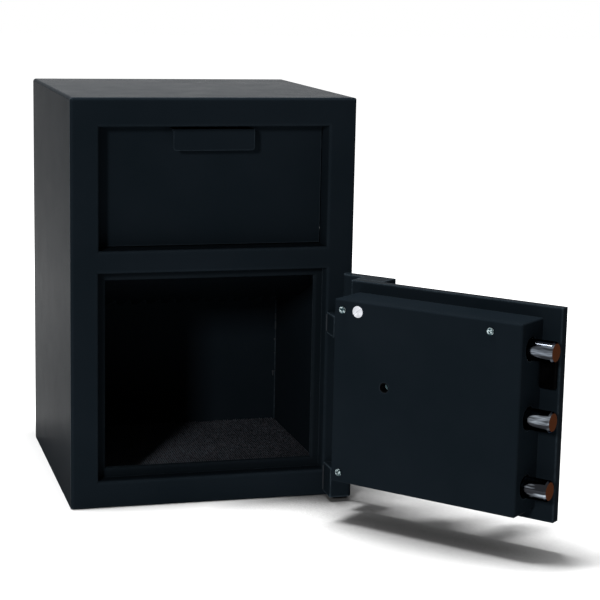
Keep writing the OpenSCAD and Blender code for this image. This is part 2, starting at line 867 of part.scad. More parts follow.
// The guide plate stands on the door plate and has a foot folded towards the hinge
module bolt_guide() {
    z = [bolt_z[0] - guide_overhang, bolt_z[2] + guide_overhang];
    color(dark_steel)
        on_door()
            difference() {
                union() {
                    slab([guide_x, guide_x + guide_t], [door_t, bolt_y + bolt_r + 3], z);
                    slab([guide_x, guide_x + guide_foot_w], [door_t, door_t + guide_foot_t], z);
                }
                for (c = bolt_z) rod_x([guide_x - 1, guide_x + guide_t + 1], bolt_y, c, bolt_r + run_clear);
            }
}

module guide_studs() {
    color(bright)
        on_door()
            for (z = stud_z) {
                rod_y(stud_x, [door_t, drive_y[1] + stud_play], z, stud_r);
                rod_y(stud_x, [drive_y[1] + stud_play, drive_y[1] + stud_play + stud_head_t], z, stud_head_r);
            }
}

module hard_plate() {
    color(dark_steel)
        on_door()
            difference() {
                slab(
                    [case_x[0] - hard_margin, case_x[1] + hard_margin],
                    [door_t, door_t + hard_t],
                    [case_z[0] - hard_margin, case_z[1] + hard_margin]
                );
                rod_y(dial_x, [door_t - 1, door_t + hard_t + 1], dial_z, dial_spindle_r + loose_clear);
                lock_screw_rods([door_t - 1, door_t + hard_t + 1], case_screw_r + loose_clear);
            }
}

module lock_screw_rods(y, r) {
    for (a = [case_x[0] + case_screw_inset, case_x[1] - case_screw_inset])
        for (c = [case_z[0] + case_screw_inset, case_z[1] - case_screw_inset])
            rod_y(a, y, c, r);
}

module lock_case() {
    color([0.62, 0.60, 0.55])
        on_door()
            difference() {
                slab(case_x, case_y, case_z);
                rod_y(dial_x, [case_y[0] - 1, case_y[1] - 4], dial_z, dial_spindle_r + loose_clear);
                lock_screw_rods([case_y[0] - 1, case_y[1] + 1], case_screw_r + seat_clear);
                slab(
                    [case_x[0] - 1, lock_bolt_x[1] + 2],
                    [lock_bolt_y[0] - rest_clear, lock_bolt_y[1] + rest_clear],
                    [lock_bolt_z[0] - rest_clear, lock_bolt_z[1] + rest_clear]
                );
            }
}

module lock_bolt() {
    color([0.75, 0.60, 0.30])
        on_door()
            slab(lock_bolt_x, lock_bolt_y, lock_bolt_z);
}

module lock_screws() {
    color(bright)
        on_door() {
            lock_screw_rods([door_t, case_y[1]], case_screw_r);
            lock_screw_rods([case_y[1], case_y[1] + case_screw_head_t], case_screw_head_r);
        }
}

// A turned piece that faces the outside, its profile drawn as [radius, height]
module turned_outward(x, y, z) {
    translate([x, y, z]) rotate([90, 0, 0]) rotate_extrude() children();
}

module dial_ring() {
    color(steel_paint)
        on_door()
            turned_outward(dial_x, 0, dial_z)
                difference() {
                    polygon([
                        [dial_r - dial_ring_lap, 0], [dial_ring_r, 0], [dial_ring_r, 3],
                        [dial_ring_r - 5, dial_ring_t], [dial_r - dial_ring_lap, dial_ring_t]
                    ]);
                    translate([0, dial_ring_t - dial_sink]) square([dial_r + 0.6, dial_sink + 1]);
                }
}

module handle_rose() {
    color(bright)
        on_door()
            turned_outward(handle_x, 0, handle_z)
                polygon([
                    [handle_spindle_r + run_clear, 0], [handle_hub_r + 5, 0], [handle_hub_r + 5, 2],
                    [handle_hub_r + 2, rose_t], [handle_spindle_r + run_clear, rose_t]
                ]);
}

// The bolt work that slides

module bolt_bar() {
    slot_x = handle_x - crank_arm / sqrt(2);
    drive_x1 = slot_x + slot_half + slot_margin;
    drive_z = [handle_z - tab_margin, handle_z + crank_arm + crank_pin_r + slot_margin];
    tab_x1 = stud_x + stud_r + tab_margin;
    color(dark_steel)
        on_door()
            difference() {
                union() {
                    slab(bar_x, [bolt_y - bar_d / 2, bolt_y + bar_d / 2], bar_z);
                    slab([bar_x[1] - 1, drive_x1], drive_y, drive_z);
                    for (z = stud_z)
                        slab([bar_x[1] - 1, tab_x1], drive_y, [z - stud_r - tab_margin, z + stud_r + tab_margin]);
                }
                crank_slot(slot_x);
                for (z = stud_z) stud_slot(z);
                for (z = bolt_z)
                    rod_x([bar_x[0] - 1, bar_x[1] + 1], bolt_y, z, bolt_screw_r + seat_clear);
            }
}

// The upright slot that the crank pin runs in
module crank_slot(slot_x) {
    low_z = handle_z + crank_arm / sqrt(2) - 1;
    top_z = handle_z + crank_arm + 1;
    y = [drive_y[0] - 1, drive_y[1] + 1];
    slab([slot_x - slot_half, slot_x + slot_half], y, [low_z, top_z]);
    for (z = [low_z, top_z]) rod_y(slot_x, y, z, slot_half);
}

// The level slot that a guide stud stands in, as long as the bolts' travel
module stud_slot(z) {
    y = [drive_y[0] - 1, drive_y[1] + 1];
    r = stud_r + stud_play;
    slab([stud_x - bolt_throw, stud_x], y, [z - r, z + r]);
    for (x = [stud_x - bolt_throw, stud_x]) rod_y(x, y, z, r);
}

module locking_bolt(z) {
    color([0.80, 0.82, 0.84])
        on_door()
            difference() {
                union() {
                    rod_x([bolt_tip_x + bolt_chamfer, bar_x[0]], bolt_y, z, bolt_r);
                    translate([bolt_tip_x, bolt_y, z])
                        rotate([0, 90, 0])
                            cylinder(h = bolt_chamfer, r1 = bolt_r - bolt_chamfer, r2 = bolt_r);
                }
                rod_x([bar_x[0] - bolt_screw_l - 2, bar_x[0] + 1], bolt_y, z, bolt_screw_r + seat_clear);
            }
}

module upper_bolt() {
    locking_bolt(bolt_z[2]);
}

module middle_bolt() {
    locking_bolt(bolt_z[1]);
}

module lower_bolt() {
    locking_bolt(bolt_z[0]);
}

module bolt_screws() {
    color(dark_steel)
        on_door()
            for (z = bolt_z) {
                rod_x([bar_x[0] - bolt_screw_l, bar_x[1]], bolt_y, z, bolt_screw_r);
                rod_x([bar_x[1], bar_x[1] + bolt_screw_head_t], bolt_y, z, bolt_screw_head_r);
            }
}

// The handle hangs down with the bolts thrown. Its arm as seen from outside
module arm_front() {
    root_r = handle_hub_r - 4;
    tip_z = handle_tip_r - handle_l;
    polygon([[-root_r, 0], [root_r, 0], [handle_tip_r, tip_z], [-handle_tip_r, tip_z]]);
    translate([0, tip_z]) circle(handle_tip_r);
}

// The arm as seen from the side, as [y, z] round the hub's centre line: it starts
// level with the hub's outer face, is cranked outward and then runs down straight
module arm_side() {
    start_z = -handle_hub_r;
    end_z = start_z - 2 * handle_crank_out;
    out_y = [arm_level_y[0] - handle_crank_out, arm_level_y[1] - handle_crank_out];
    nose_r = handle_arm_t / 2;
    translate([arm_level_y[0], start_z]) square([handle_arm_t, -start_z]);
    polygon([[arm_level_y[0], start_z], [arm_level_y[1], start_z], [out_y[1], end_z], [out_y[0], end_z]]);
    translate([out_y[0], nose_r - handle_l]) square([handle_arm_t, end_z - nose_r + handle_l]);
    translate([out_y[0] + nose_r, nose_r - handle_l]) circle(nose_r);
}

// The hub's profile as [radius, height above the rose]: a foot, a waist and a domed head
module hub_profile() {
    hub_l = hub_y[1] - hub_y[0];
    waist_r = handle_hub_r - 3;
    dome_r = 3;
    difference() {
        union() {
            square([handle_hub_r, 4]);
            square([waist_r, hub_l - handle_arm_t]);
            polygon([[0, 4], [handle_hub_r, 4], [waist_r, 4 + 3], [0, 4 + 3]]);
            polygon([
                [0, hub_l - handle_arm_t - 3], [waist_r, hub_l - handle_arm_t - 3],
                [handle_hub_r, hub_l - handle_arm_t], [0, hub_l - handle_arm_t]
            ]);
            translate([0, hub_l - handle_arm_t]) square([handle_hub_r, handle_arm_t - dome_r]);
            translate([0, hub_l - dome_r]) square([handle_hub_r - dome_r, dome_r]);
            translate([handle_hub_r - dome_r, hub_l - dome_r]) circle(dome_r);
        }
        square([handle_spindle_r + seat_clear, hub_l - handle_arm_t / 2]);
    }
}

module handle_lever() {
    color(bright)
        on_door() {
            turned_outward(handle_x, hub_y[1], handle_z) hub_profile();
            difference() {
                intersection() {
                    translate([handle_x, 0, handle_z]) upright([-handle_out - 1, 0]) arm_front();
                    translate([0, 0, handle_z])
                        across([handle_x - handle_hub_r, handle_x + handle_hub_r])
                            arm_side();
                }
                rod_y(handle_x, [hub_y[0] + handle_arm_t / 2, 0], handle_z, handle_spindle_r + seat_clear);
            }
        }
}

module handle_crank() {
    pin_x = handle_x - crank_arm / sqrt(2);
    pin_z = handle_z + crank_arm / sqrt(2);
    grip_y = hub_y[0] + handle_arm_t / 2 + 1;
    color(dark_steel)
        on_door() {
            rod_y(handle_x, [grip_y, crank_y[0]], handle_z, handle_spindle_r);
            rod_y(handle_x, crank_y, handle_z, crank_disc_r);
            rod_y(pin_x, [crank_y[1], drive_y[1] + 1], pin_z, crank_pin_r);
        }
}

// The dial, its grip fluted round
module dial_knob() {
    grip_r = 17;
    grip_out = 24;
    cone_h = 12;
    flute_r = 2;
    flutes = 18;
    bore_l = 8;
    color([0.04, 0.04, 0.045])
        on_door()
            difference() {
                union() {
                    turned_outward(dial_x, dial_face_y + dial_sink, dial_z)
                        polygon([
                            [0, 0], [dial_r, 0], [dial_r, 1.5], [dial_r - 8, 5],
                            [grip_r + 3, cone_h - 3], [grip_r, cone_h], [0, cone_h]
                        ]);
                    rod_y(dial_x, [dial_face_y - grip_out, dial_face_y], dial_z, grip_r);
                }
                for (i = [0 : flutes - 1])
                    translate([dial_x, 0, dial_z])
                        rotate([0, i * 360 / flutes, 0])
                            rod_y(
                                grip_r + flute_r / 2, [dial_face_y - grip_out - 1, dial_face_y - cone_h + 2],
                                0, flute_r
                            );
                rod_y(
                    dial_x, [dial_face_y - bore_l, dial_face_y + dial_sink + 1],
                    dial_z, dial_spindle_r + seat_clear
                );
            }
}

module dial_spindle() {
    color(bright)
        on_door()
            rod_y(dial_x, [dial_face_y - 7, case_y[1] - 5], dial_z, dial_spindle_r);
}

// The hopper

// Everything between the panel and the tray, as [y, z] round the pivot
module cheek_outline() {
    panel_back = hopper_panel_t - pivot_back;
    difference() {
        union() {
            difference() {
                circle(cheek_r);
                rotate(-tray_slope)
                    translate([-toe_r, -2 * toe_r - hopper_sheet_t]) square(2 * toe_r);
            }
            circle(pivot_boss_r);
            rotate(toe_lead - toe_angle)
                intersection() {
                    circle(toe_r);
                    square(toe_r);
                    rotate(toe_angle - 90) square(toe_r);
                }
        }
        translate([panel_back - 2 * toe_r, -toe_r]) square(2 * toe_r);
        circle(pivot_r + run_clear);
    }
}

module hopper_cheek(x) {
    color(inner_paint)
        at_front()
            across(x)
                translate([pivot_y, pivot_z]) cheek_outline();
}

module hopper_left_cheek() {
    hopper_cheek([-cheek_x, -cheek_in_x]);
}

module hopper_right_cheek() {
    hopper_cheek([cheek_in_x, cheek_x]);
}

module hopper_panel() {
    color(steel_paint)
        at_front()
            slab([-panel_x, panel_x], [recess_y, recess_y + hopper_panel_t], panel_z);
}

// The tray slopes down from the panel to the drop behind
module hopper_tray() {
    panel_back = hopper_panel_t - pivot_back;
    color(inner_paint)
        at_front()
            across([-cheek_in_x, cheek_in_x])
                translate([pivot_y, pivot_z])
                    difference() {
                        rotate(-tray_slope)
                            translate([-tray_r, -hopper_sheet_t]) square([2 * tray_r, hopper_sheet_t]);
                        translate([panel_back - 2 * tray_r, -tray_r]) square(2 * tray_r);
                    }
}

// A folded lip: a flange on the panel, a bend and a plate to pull by
module pull_lip() {
    bend = lip_t + 1.5;
    bottom_z = lip_top_z - lip_h;
    half = lip_w / 2;
    color(steel_paint)
        at_front() {
            slab([-half, half], [lip_y + bend, recess_y], [lip_top_z - lip_t, lip_top_z]);
            across([-half, half])
                translate([lip_y + bend, lip_top_z - bend])
                    difference() {
                        intersection() {
                            circle(bend);
                            translate([-bend, 0]) square(bend);
                        }
                        circle(bend - lip_t);
                    }
            upright([lip_y, lip_y + lip_t]) {
                translate([-half, bottom_z + lip_corner_r])
                    square([lip_w, lip_h - bend - lip_corner_r]);
                translate([-half + lip_corner_r, bottom_z])
                    square([lip_w - 2 * lip_corner_r, lip_h - bend]);
                for (s = [-1, 1])
                    translate([s * (half - lip_corner_r), bottom_z + lip_corner_r]) circle(lip_corner_r);
            }
        }
}

module hopper_pivot_pins() {
    inner_x = cheek_in_x + 0.2;
    head_x = hopper_open_x + return_t;
    color(bright)
        at_front() {
            rod_x([inner_x, head_x], pivot_y, pivot_z, pivot_r);
            rod_x([-head_x, -inner_x], pivot_y, pivot_z, pivot_r);
            rod_x([head_x, head_x + pivot_head_t], pivot_y, pivot_z, pivot_head_r);
            rod_x([-head_x - pivot_head_t, -head_x], pivot_y, pivot_z, pivot_head_r);
        }
}

body_wrap();
bottom_plate();
back_plate();
front_frame();
stop_frame();
hopper_stop();
toothed_baffle();
rear_baffle();
carpet();
upper_hinge_lug();
lower_hinge_lug();
hinge_pins();
thrust_washers();
hopper_pivot_pins();
door_plate();
upper_hinge_strap();
lower_hinge_strap();
stop_pad();
bolt_cover();
cover_posts();
cover_screws();
cover_plug();
key_hole_bush();
bolt_guide();
guide_studs();
hard_plate();
lock_case();
lock_bolt();
lock_screws();
dial_ring();
handle_rose();
bolt_bar();
upper_bolt();
middle_bolt();
lower_bolt();
bolt_screws();
handle_lever();
handle_crank();
dial_knob();
dial_spindle();
hopper_panel();
pull_lip();
hopper_left_cheek();
hopper_right_cheek();
hopper_tray();
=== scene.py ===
"""Looks of a front-loading drop safe with a tilt-out hopper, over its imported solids.

Lengths are in metres in the part's own frame: +Z up, +Y from the front face to the
back, +X to the right, the origin in the middle of the base.
"""

import json
import logging
import math
from dataclasses import dataclass, replace
from enum import Enum
from typing import Callable, Sequence

import bpy
from mathutils import Matrix, Vector


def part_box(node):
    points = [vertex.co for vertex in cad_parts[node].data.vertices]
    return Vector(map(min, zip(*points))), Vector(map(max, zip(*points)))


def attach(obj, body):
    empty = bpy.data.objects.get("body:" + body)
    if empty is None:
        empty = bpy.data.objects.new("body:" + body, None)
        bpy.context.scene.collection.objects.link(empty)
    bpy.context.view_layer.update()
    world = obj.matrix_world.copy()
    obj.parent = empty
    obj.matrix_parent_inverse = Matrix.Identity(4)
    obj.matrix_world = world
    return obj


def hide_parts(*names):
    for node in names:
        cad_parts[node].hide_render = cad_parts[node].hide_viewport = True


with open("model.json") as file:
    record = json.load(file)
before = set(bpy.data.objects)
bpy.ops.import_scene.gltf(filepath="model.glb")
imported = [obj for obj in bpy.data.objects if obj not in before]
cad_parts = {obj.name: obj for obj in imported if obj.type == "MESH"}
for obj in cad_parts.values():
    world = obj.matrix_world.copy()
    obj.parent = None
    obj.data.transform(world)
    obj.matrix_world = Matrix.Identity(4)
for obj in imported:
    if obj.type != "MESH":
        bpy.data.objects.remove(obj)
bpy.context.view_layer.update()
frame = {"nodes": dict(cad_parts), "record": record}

log = logging.getLogger("drop_safe")

Colour = tuple[float, float, float]
Span = tuple[float, float]
Socket = bpy.types.NodeSocket
Piece = bpy.types.Object

MM = 0.001
FRONT_Y = -177.8 * MM
HINGE = Vector((167 * MM, FRONT_Y - 23.3 * MM, 0))
DOOR_ANGLE = math.radians(130.6)
SMOOTH_ANGLE = math.radians(40)
FULL: Span = (0.0, 1.0)
THIN_EDGE = 1.3 * MM


class Body(Enum):
    """The bodies of the moving part that a new piece rides on."""

    SAFE = "safe"
    DOOR = "door"
    DIAL = "dial"


class Axis(Enum):
    """The direction that a rod, a bead or a turned piece runs along."""

    X = "X"
    Y = "Y"
    Z = "Z"


def at_front(x: float, y: float, z: float) -> Vector:
    """A place given in millimetres, its depth counted from the front face.

    Args:
        x: Millimetres to the right of the middle.
        y: Millimetres behind the front face.
        z: Millimetres above the floor.

    Returns:
        The same place in metres in the part's frame.
    """
    return Vector((x * MM, y * MM + FRONT_Y, z * MM))


def door_swing() -> Matrix:
    """The turn that takes a piece drawn on the shut door to the open door of the photograph.

    Returns:
        The turn about the hinge's axis.
    """
    turn = Matrix.Rotation(DOOR_ANGLE, 4, "Z")
    return Matrix.Translation(HINGE) @ turn @ Matrix.Translation(-HINGE)


class Recipe:
    """A material's nodes while they are being laid out."""

    def __init__(self, name: str) -> None:
        """Starts a material with an empty node tree, a surface shader and its output.

        Args:
            name: The material's name.
        """
        self.material = bpy.data.materials.new(name)
        self.material.use_nodes = True
        self.tree = self.material.node_tree
        self.tree.nodes.clear()
        self.surface = self.add("ShaderNodeBsdfPrincipled")
        self.output = self.add("ShaderNodeOutputMaterial")
        self.tree.links.new(self.surface.outputs[0], self.output.inputs["Surface"])
        self.place = self.add("ShaderNodeTexCoord").outputs["Object"]

    @classmethod
    def over(cls, tree: bpy.types.NodeTree) -> "Recipe":
        """Starts with an empty tree that isn't a material's.

        Args:
            tree: The tree, which is cleared.

        Returns:
            The recipe.
        """
        recipe = cls.__new__(cls)
        recipe.tree = tree
        tree.nodes.clear()
        return recipe

    def add(self, kind: str, **settings: object) -> bpy.types.Node:
        """Adds a node.

        Args:
            kind: The node's type name.
            settings: Attributes to set on it.

        Returns:
            The new node.
        """
        node = self.tree.nodes.new(kind)
        for key, value in settings.items():
            setattr(node, key, value)
        return node

    def put(self, socket: Socket, value: object) -> None:
        """Links a socket to another one, or sets its value.

        Args:
            socket: The input.
            value: An output socket, a number or a colour.
        """
        if isinstance(value, bpy.types.NodeSocket):
            self.tree.links.new(value, socket)
        elif socket.type == "RGBA":
            socket.default_value = (*value, 1.0)
        else:
            socket.default_value = value

    def stretched(
        self, scale: Sequence[float], turn: float = 0.0, shift: Sequence[float] = (0, 0, 0)
    ) -> Socket:
        """Object coordinates, stretched, turned about the vertical and shifted.

        Args:
            scale: How much each axis is scaled.
            turn: Angle about +Z in radians.
            shift: Offset that is added.

        Returns:
            The mapped coordinates.
        """
        node = self.add("ShaderNodeMapping")
        self.put(node.inputs["Vector"], self.place)
        node.inputs["Scale"].default_value = scale
        node.inputs["Rotation"].default_value = (0, 0, turn)
        node.inputs["Location"].default_value = shift
        return node.outputs[0]

    def noise(
        self, scale: float, detail: float = 2.0, rough: float = 0.5, place: Socket | None = None
    ) -> Socket:
        """Cloudy noise from 0 to 1.

        Args:
            scale: Features per metre.
            detail: Number of finer layers.
            rough: Weight of the finer layers.
            place: Coordinates, or the piece's own where None.

        Returns:
            The noise's value.
        """
        node = self.add("ShaderNodeTexNoise")
        self.put(node.inputs["Vector"], place or self.place)
        node.inputs["Scale"].default_value = scale
        node.inputs["Detail"].default_value = detail
        node.inputs["Roughness"].default_value = rough
        return node.outputs["Fac"]

    def cells(self, scale: float, place: Socket | None = None) -> Socket:
        """Distance to the nearest of scattered points, as small rounded cells.

        Args:
            scale: Cells per metre.
            place: Coordinates, or the piece's own where None.

        Returns:
            The distance.
        """
        node = self.add("ShaderNodeTexVoronoi")
        self.put(node.inputs["Vector"], place or self.place)
        node.inputs["Scale"].default_value = scale
        return node.outputs["Distance"]

    def waves(
        self, scale: float, axis: Axis, place: Socket | None = None, distortion: float = 0.0
    ) -> Socket:
        """Even bands along an axis.

        Args:
            scale: Bands, in waves per metre over two pi.
            axis: The axis that the bands cross.
            place: Coordinates, or the piece's own where None.
            distortion: How much the bands wander.

        Returns:
            The bands' value.
        """
        node = self.add("ShaderNodeTexWave", wave_type="BANDS", bands_direction=axis.value)
        self.put(node.inputs["Vector"], place or self.place)
        node.inputs["Scale"].default_value = scale
        node.inputs["Distortion"].default_value = distortion
        return node.outputs["Fac"]

    def level(self, value: Socket, source: Span, target: Span = FULL) -> Socket:
        """Maps a range of values onto another and clamps it.

        Args:
            value: The input.
            source: The range that is read.
            target: The range that it becomes, from nothing to full where it isn't given.

        Returns:
            The mapped value.
        """
        node = self.add("ShaderNodeMapRange")
        self.put(node.inputs["Value"], value)
        for name, number in zip(("From Min", "From Max", "To Min", "To Max"), (*source, *target)):
            node.inputs[name].default_value = number
        return node.outputs[0]

    def blend(
        self, share: Socket | float, first: Socket | Colour, second: Socket | Colour
    ) -> Socket:
        """A mix of two colours.

        Args:
            share: How much of the second one shows.
            first: A colour.
            second: A colour.

        Returns:
            The mixed colour.
        """
        node = self.add("ShaderNodeMix", data_type="RGBA")
        self.put(node.inputs[0], share)
        self.put(node.inputs[6], first)
        self.put(node.inputs[7], second)
        return node.outputs[2]

    def math(self, kind: str, first: Socket | float, second: Socket | float = 0.0) -> Socket:
        """A sum, product or other plain operation.

        Args:
            kind: The operation's name.
            first: The first number.
            second: The second number.

        Returns:
            The result.
        """
        node = self.add("ShaderNodeMath", operation=kind)
        self.put(node.inputs[0], first)
        self.put(node.inputs[1], second)
        return node.outputs[0]

    def edges(self, radius: float) -> Socket:
        """How close a point is to an outer edge: rays sent into the piece soon leave it there.

        Args:
            radius: Reach of the edge zone in metres.

        Returns:
            0 on flat faces and in inner corners, rising to 1 at outer edges.
        """
        inward = self.add("ShaderNodeAmbientOcclusion", samples=8, inside=True, only_local=True)
        inward.inputs["Distance"].default_value = radius
        return self.level(inward.outputs["AO"], (0.92, 0.55))

    def facing(self, way: Sequence[float], span: Span) -> Socket:
        """How squarely the piece's surface faces a direction that moves with the piece.

        Args:
            way: The direction.
            span: The cosines at which the result begins and is full.

        Returns:
            0 away from the direction, rising to 1.
        """
        normal = self.place.node.outputs["Normal"]
        dot = self.add("ShaderNodeVectorMath", operation="DOT_PRODUCT")
        self.put(dot.inputs[0], normal)
        dot.inputs[1].default_value = way
        return self.level(dot.outputs["Value"], span)

    def relief(self, height: Socket, depth: float, strength: float = 1.0) -> None:
        """Gives the surface a bump.

        Args:
            height: The relief from 0 to 1.
            depth: Its depth in metres.
            strength: How strongly it shows.
        """
        bump = self.add("ShaderNodeBump")
        self.put(bump.inputs["Height"], height)
        bump.inputs["Distance"].default_value = depth
        bump.inputs["Strength"].default_value = strength
        self.put(self.surface.inputs["Normal"], bump.outputs[0])

    def dress(self, **values: object) -> bpy.types.Material:
        """Sets the surface shader's sockets by name, with underscores for spaces.

        Args:
            values: Socket names and what they get.

        Returns:
            The finished material.
        """
        for key, value in values.items():
            self.put(self.surface.inputs[key.replace("_", " ")], value)
        return self.material


@dataclass(frozen=True)
class TexturedPaint:
    """Semi-gloss baked paint with a fine orange-peel texture over plate steel."""

    name: str = "textured_paint"
    colour: Colour = (0.0040, 0.0063, 0.0085)
    cast: Colour = (0.0052, 0.0076, 0.0102)
    # Colour at outer edges: bare steel where rubbed through, and a painted edge highlight.
    bare: Colour = (0.055, 0.075, 0.092)
    roughness: Span = (0.165, 0.215)
    cloud_scale: float = 7.0
    fleck_scale: float = 1900.0
    rub_scale: float = 160.0
    touch_scale: float = 26.0
    peel_scale: float = 620.0
    broad_peel_scale: float = 140.0
    peel_depth: float = 0.05 * MM
    wear: float = 0.40
    edge: float = 2.8 * MM
    specular: float = 0.0005

    def make(self) -> bpy.types.Material:
        """Lays out the paint's nodes.

        Returns:
            The material.
        """
        r = Recipe(self.name)
        cloud = r.noise(self.cloud_scale, 4.0, 0.6)
        fleck = r.noise(self.fleck_scale, 1.0)
        tone = r.blend(r.level(cloud, (0.35, 0.7)), self.colour, self.cast)
        tone = r.blend(r.level(fleck, (0.60, 0.78), (0.0, 0.35)), tone, self.cast)
        # Near outer edges the paint turns towards the bare colour: partly rubbed-through wear,
        # partly a painted highlight standing in for gloss on rounded edges.
        rub = r.noise(self.rub_scale, 4.0, 0.7)
        rubbed = r.level(rub, (0.40, 0.62), (0.4 * self.wear, self.wear))
        rubbed = r.math("MULTIPLY", r.edges(self.edge), rubbed)
        tone = r.blend(rubbed, tone, self.bare)
        fine = r.math("MULTIPLY", r.noise(self.peel_scale, 2.0), 0.7)
        broad = r.math("MULTIPLY", r.noise(self.broad_peel_scale, 2.0), 0.5)
        r.relief(r.math("ADD", fine, broad), self.peel_depth)
        handled = r.level(r.noise(self.touch_scale, 5.0, 0.65), (0.3, 0.75), self.roughness)
        return r.dress(Base_Color=tone, Roughness=handled, Specular_IOR_Level=self.specular)


@dataclass(frozen=True)
class Plating:
    """Polished or satin plating over steel, with fine turning lines and handling marks.

    Where an end reflection colour is given, the flat end of a rod takes it in place of the plating,
    as a painted reflection.
    """

    name: str
    colour: Colour
    dull: Colour
    roughness: Span = (0.06, 0.18)
    line_scale: float = 900.0
    line_depth: float = 0.004 * MM
    grit_scale: float = 800.0
    touch_scale: float = 90.0
    turn: float = 0.0
    streak: Sequence[float] = (1.0, 1.0, 1.0)
    streak_scale: float = 45.0
    smears: Span = (0.40, 0.62)
    tip: Colour | None = None
    rim: Colour = (1.0, 1.0, 1.0)
    specular: float = 0.0006

    def make(self) -> bpy.types.Material:
        """Lays out the plating's nodes.

        Returns:
            The material.
        """
        r = Recipe(self.name)
        # Colour mixes between the dull and bright tones in smears; where the dull tone is near
        # black, these bands are painted dark reflections.
        smear_and_reflection_band = r.noise(self.streak_scale, 3.0, 0.6, place=r.stretched(self.streak))
        tone = r.blend(r.level(smear_and_reflection_band, self.smears), self.dull, self.colour)
        metal = 1.0
        # Painted reflection: the flat end takes a warm brown, non-metal, in place of the plating.
        if self.tip:
            end = r.facing((-math.cos(self.turn), -math.sin(self.turn), 0), (0.75, 0.95))
            tone = r.blend(end, tone, self.tip)
            metal = r.level(end, FULL, (1.0, 0.0))
        along = r.stretched((1, 1, 1), turn=-self.turn)
        lines = r.waves(self.line_scale, Axis.X, place=along, distortion=2.0)
        r.relief(r.math("ADD", lines, r.noise(self.grit_scale, 3.0)), self.line_depth)
        gloss = r.level(r.noise(self.touch_scale, 4.0, 0.7), (0.35, 0.8), self.roughness)
        return r.dress(
            Base_Color=tone, Metallic=metal, Roughness=gloss,
            Specular_IOR_Level=self.specular, Specular_Tint=self.rim,
        )


@dataclass(frozen=True)
class MillSteel:
    """Uncoated machined or cast metal with a grain, stains and rubbed edges."""

    name: str
    colour: Colour
    stain: Colour
    roughness: Span = (0.32, 0.55)
    metallic: float = 1.0
    stain_scale: float = 38.0
    grain: Sequence[float] = (1.0, 1.0, 14.0)
    grain_scale: float = 240.0
    grain_depth: float = 0.06 * MM
    edge: float = 0.8 * MM
    polish: float = 1.35
    specular: float = 0.5

    def make(self) -> bpy.types.Material:
        """Lays out the metal's nodes.

        Returns:
            The material.
        """
        r = Recipe(self.name)
        stain = r.level(r.noise(self.stain_scale, 5.0, 0.7), (0.42, 0.75), (0.0, 0.8))
        tone = r.blend(stain, self.colour, self.stain)
        rubbed = tuple(min(1.0, self.polish * part) for part in self.colour)
        tone = r.blend(r.math("MULTIPLY", r.edges(self.edge), 0.5), tone, rubbed)
        grain = r.noise(self.grain_scale, 4.0, 0.7, place=r.stretched(self.grain))
        r.relief(grain, self.grain_depth)
        gloss = r.level(grain, (0.3, 0.7), self.roughness)
        return r.dress(
            Base_Color=tone, Metallic=self.metallic, Roughness=gloss,
            Specular_IOR_Level=self.specular,
        )


@dataclass(frozen=True)
class Rubber:
    """Dull black moulded rubber with a slight bloom."""

    name: str = "stop_rubber"
    colour: Colour = (0.0001, 0.0001, 0.00015)
    bloom: Colour = (0.0011, 0.0011, 0.0015)
    roughness: Span = (0.62, 0.82)
    bloom_scale: float = 60.0
    touch_scale: float = 200.0
    skin_scale: float = 900.0
    skin_depth: float = 0.12 * MM
    specular: float = 0.006

    def make(self) -> bpy.types.Material:
        """Lays out the rubber's nodes.

        Returns:
            The material.
        """
        r = Recipe(self.name)
        bloomed = r.level(r.noise(self.bloom_scale, 5.0, 0.7), (0.45, 0.8))
        tone = r.blend(bloomed, self.colour, self.bloom)
        r.relief(r.noise(self.skin_scale, 3.0), self.skin_depth)
        gloss = r.level(r.noise(self.touch_scale, 2.0), (0.3, 0.7), self.roughness)
        return r.dress(Base_Color=tone, Roughness=gloss, Specular_IOR_Level=self.specular)


@dataclass(frozen=True)
class RibbedPile:
    """Needle-punched ribbed carpet in dark grey with lighter fibres."""

    name: str = "ribbed_pile"
    colour: Colour = (0.0032, 0.0036, 0.0046)
    fibre: Colour = (0.078, 0.092, 0.112)
    warm: Colour = (0.080, 0.079, 0.092)
    rib_pitch: float = 3.0 * MM
    tuft_scale: float = 620.0
    fuzz_scale: float = 900.0
    hue_scale: float = 500.0
    tread_scale: float = 9.0
    pile_depth: float = 1.4 * MM
    roughness: float = 0.95
    specular: float = 0.02

    def make(self) -> bpy.types.Material:
        """Lays out the carpet's nodes.

        Returns:
            The material.
        """
        r = Recipe(self.name)
        rib = r.waves(2 * math.pi / (20 * self.rib_pitch), Axis.X, distortion=1.2)
        along = r.stretched((1.0, 0.25, 1.0), shift=(0.3, 0.1, 0.0))
        tuft = r.cells(self.tuft_scale, place=along)
        fuzz = r.noise(self.fuzz_scale, 3.0, 0.75, place=along)
        ribs = r.math("MULTIPLY", rib, 0.5)
        pile = r.math("MULTIPLY", r.math("ADD", tuft, fuzz), 0.5)
        lift = r.math("ADD", ribs, pile)
        # Lighter where the pile stands higher, on rib crests and tufts, and darker down in the
        # valleys between the ribs.
        light = r.level(lift, (0.45, 0.95))
        hue = r.level(r.noise(self.hue_scale, 2.0, place=along), (0.42, 0.58))
        tone = r.blend(light, self.colour, r.blend(hue, self.fibre, self.warm))
        worn = r.level(r.noise(self.tread_scale, 4.0), (0.3, 0.7), (0.0, 0.35))
        tone = r.blend(worn, tone, self.colour)
        r.relief(lift, self.pile_depth)
        return r.dress(
            Base_Color=tone, Roughness=self.roughness, Specular_IOR_Level=self.specular
        )


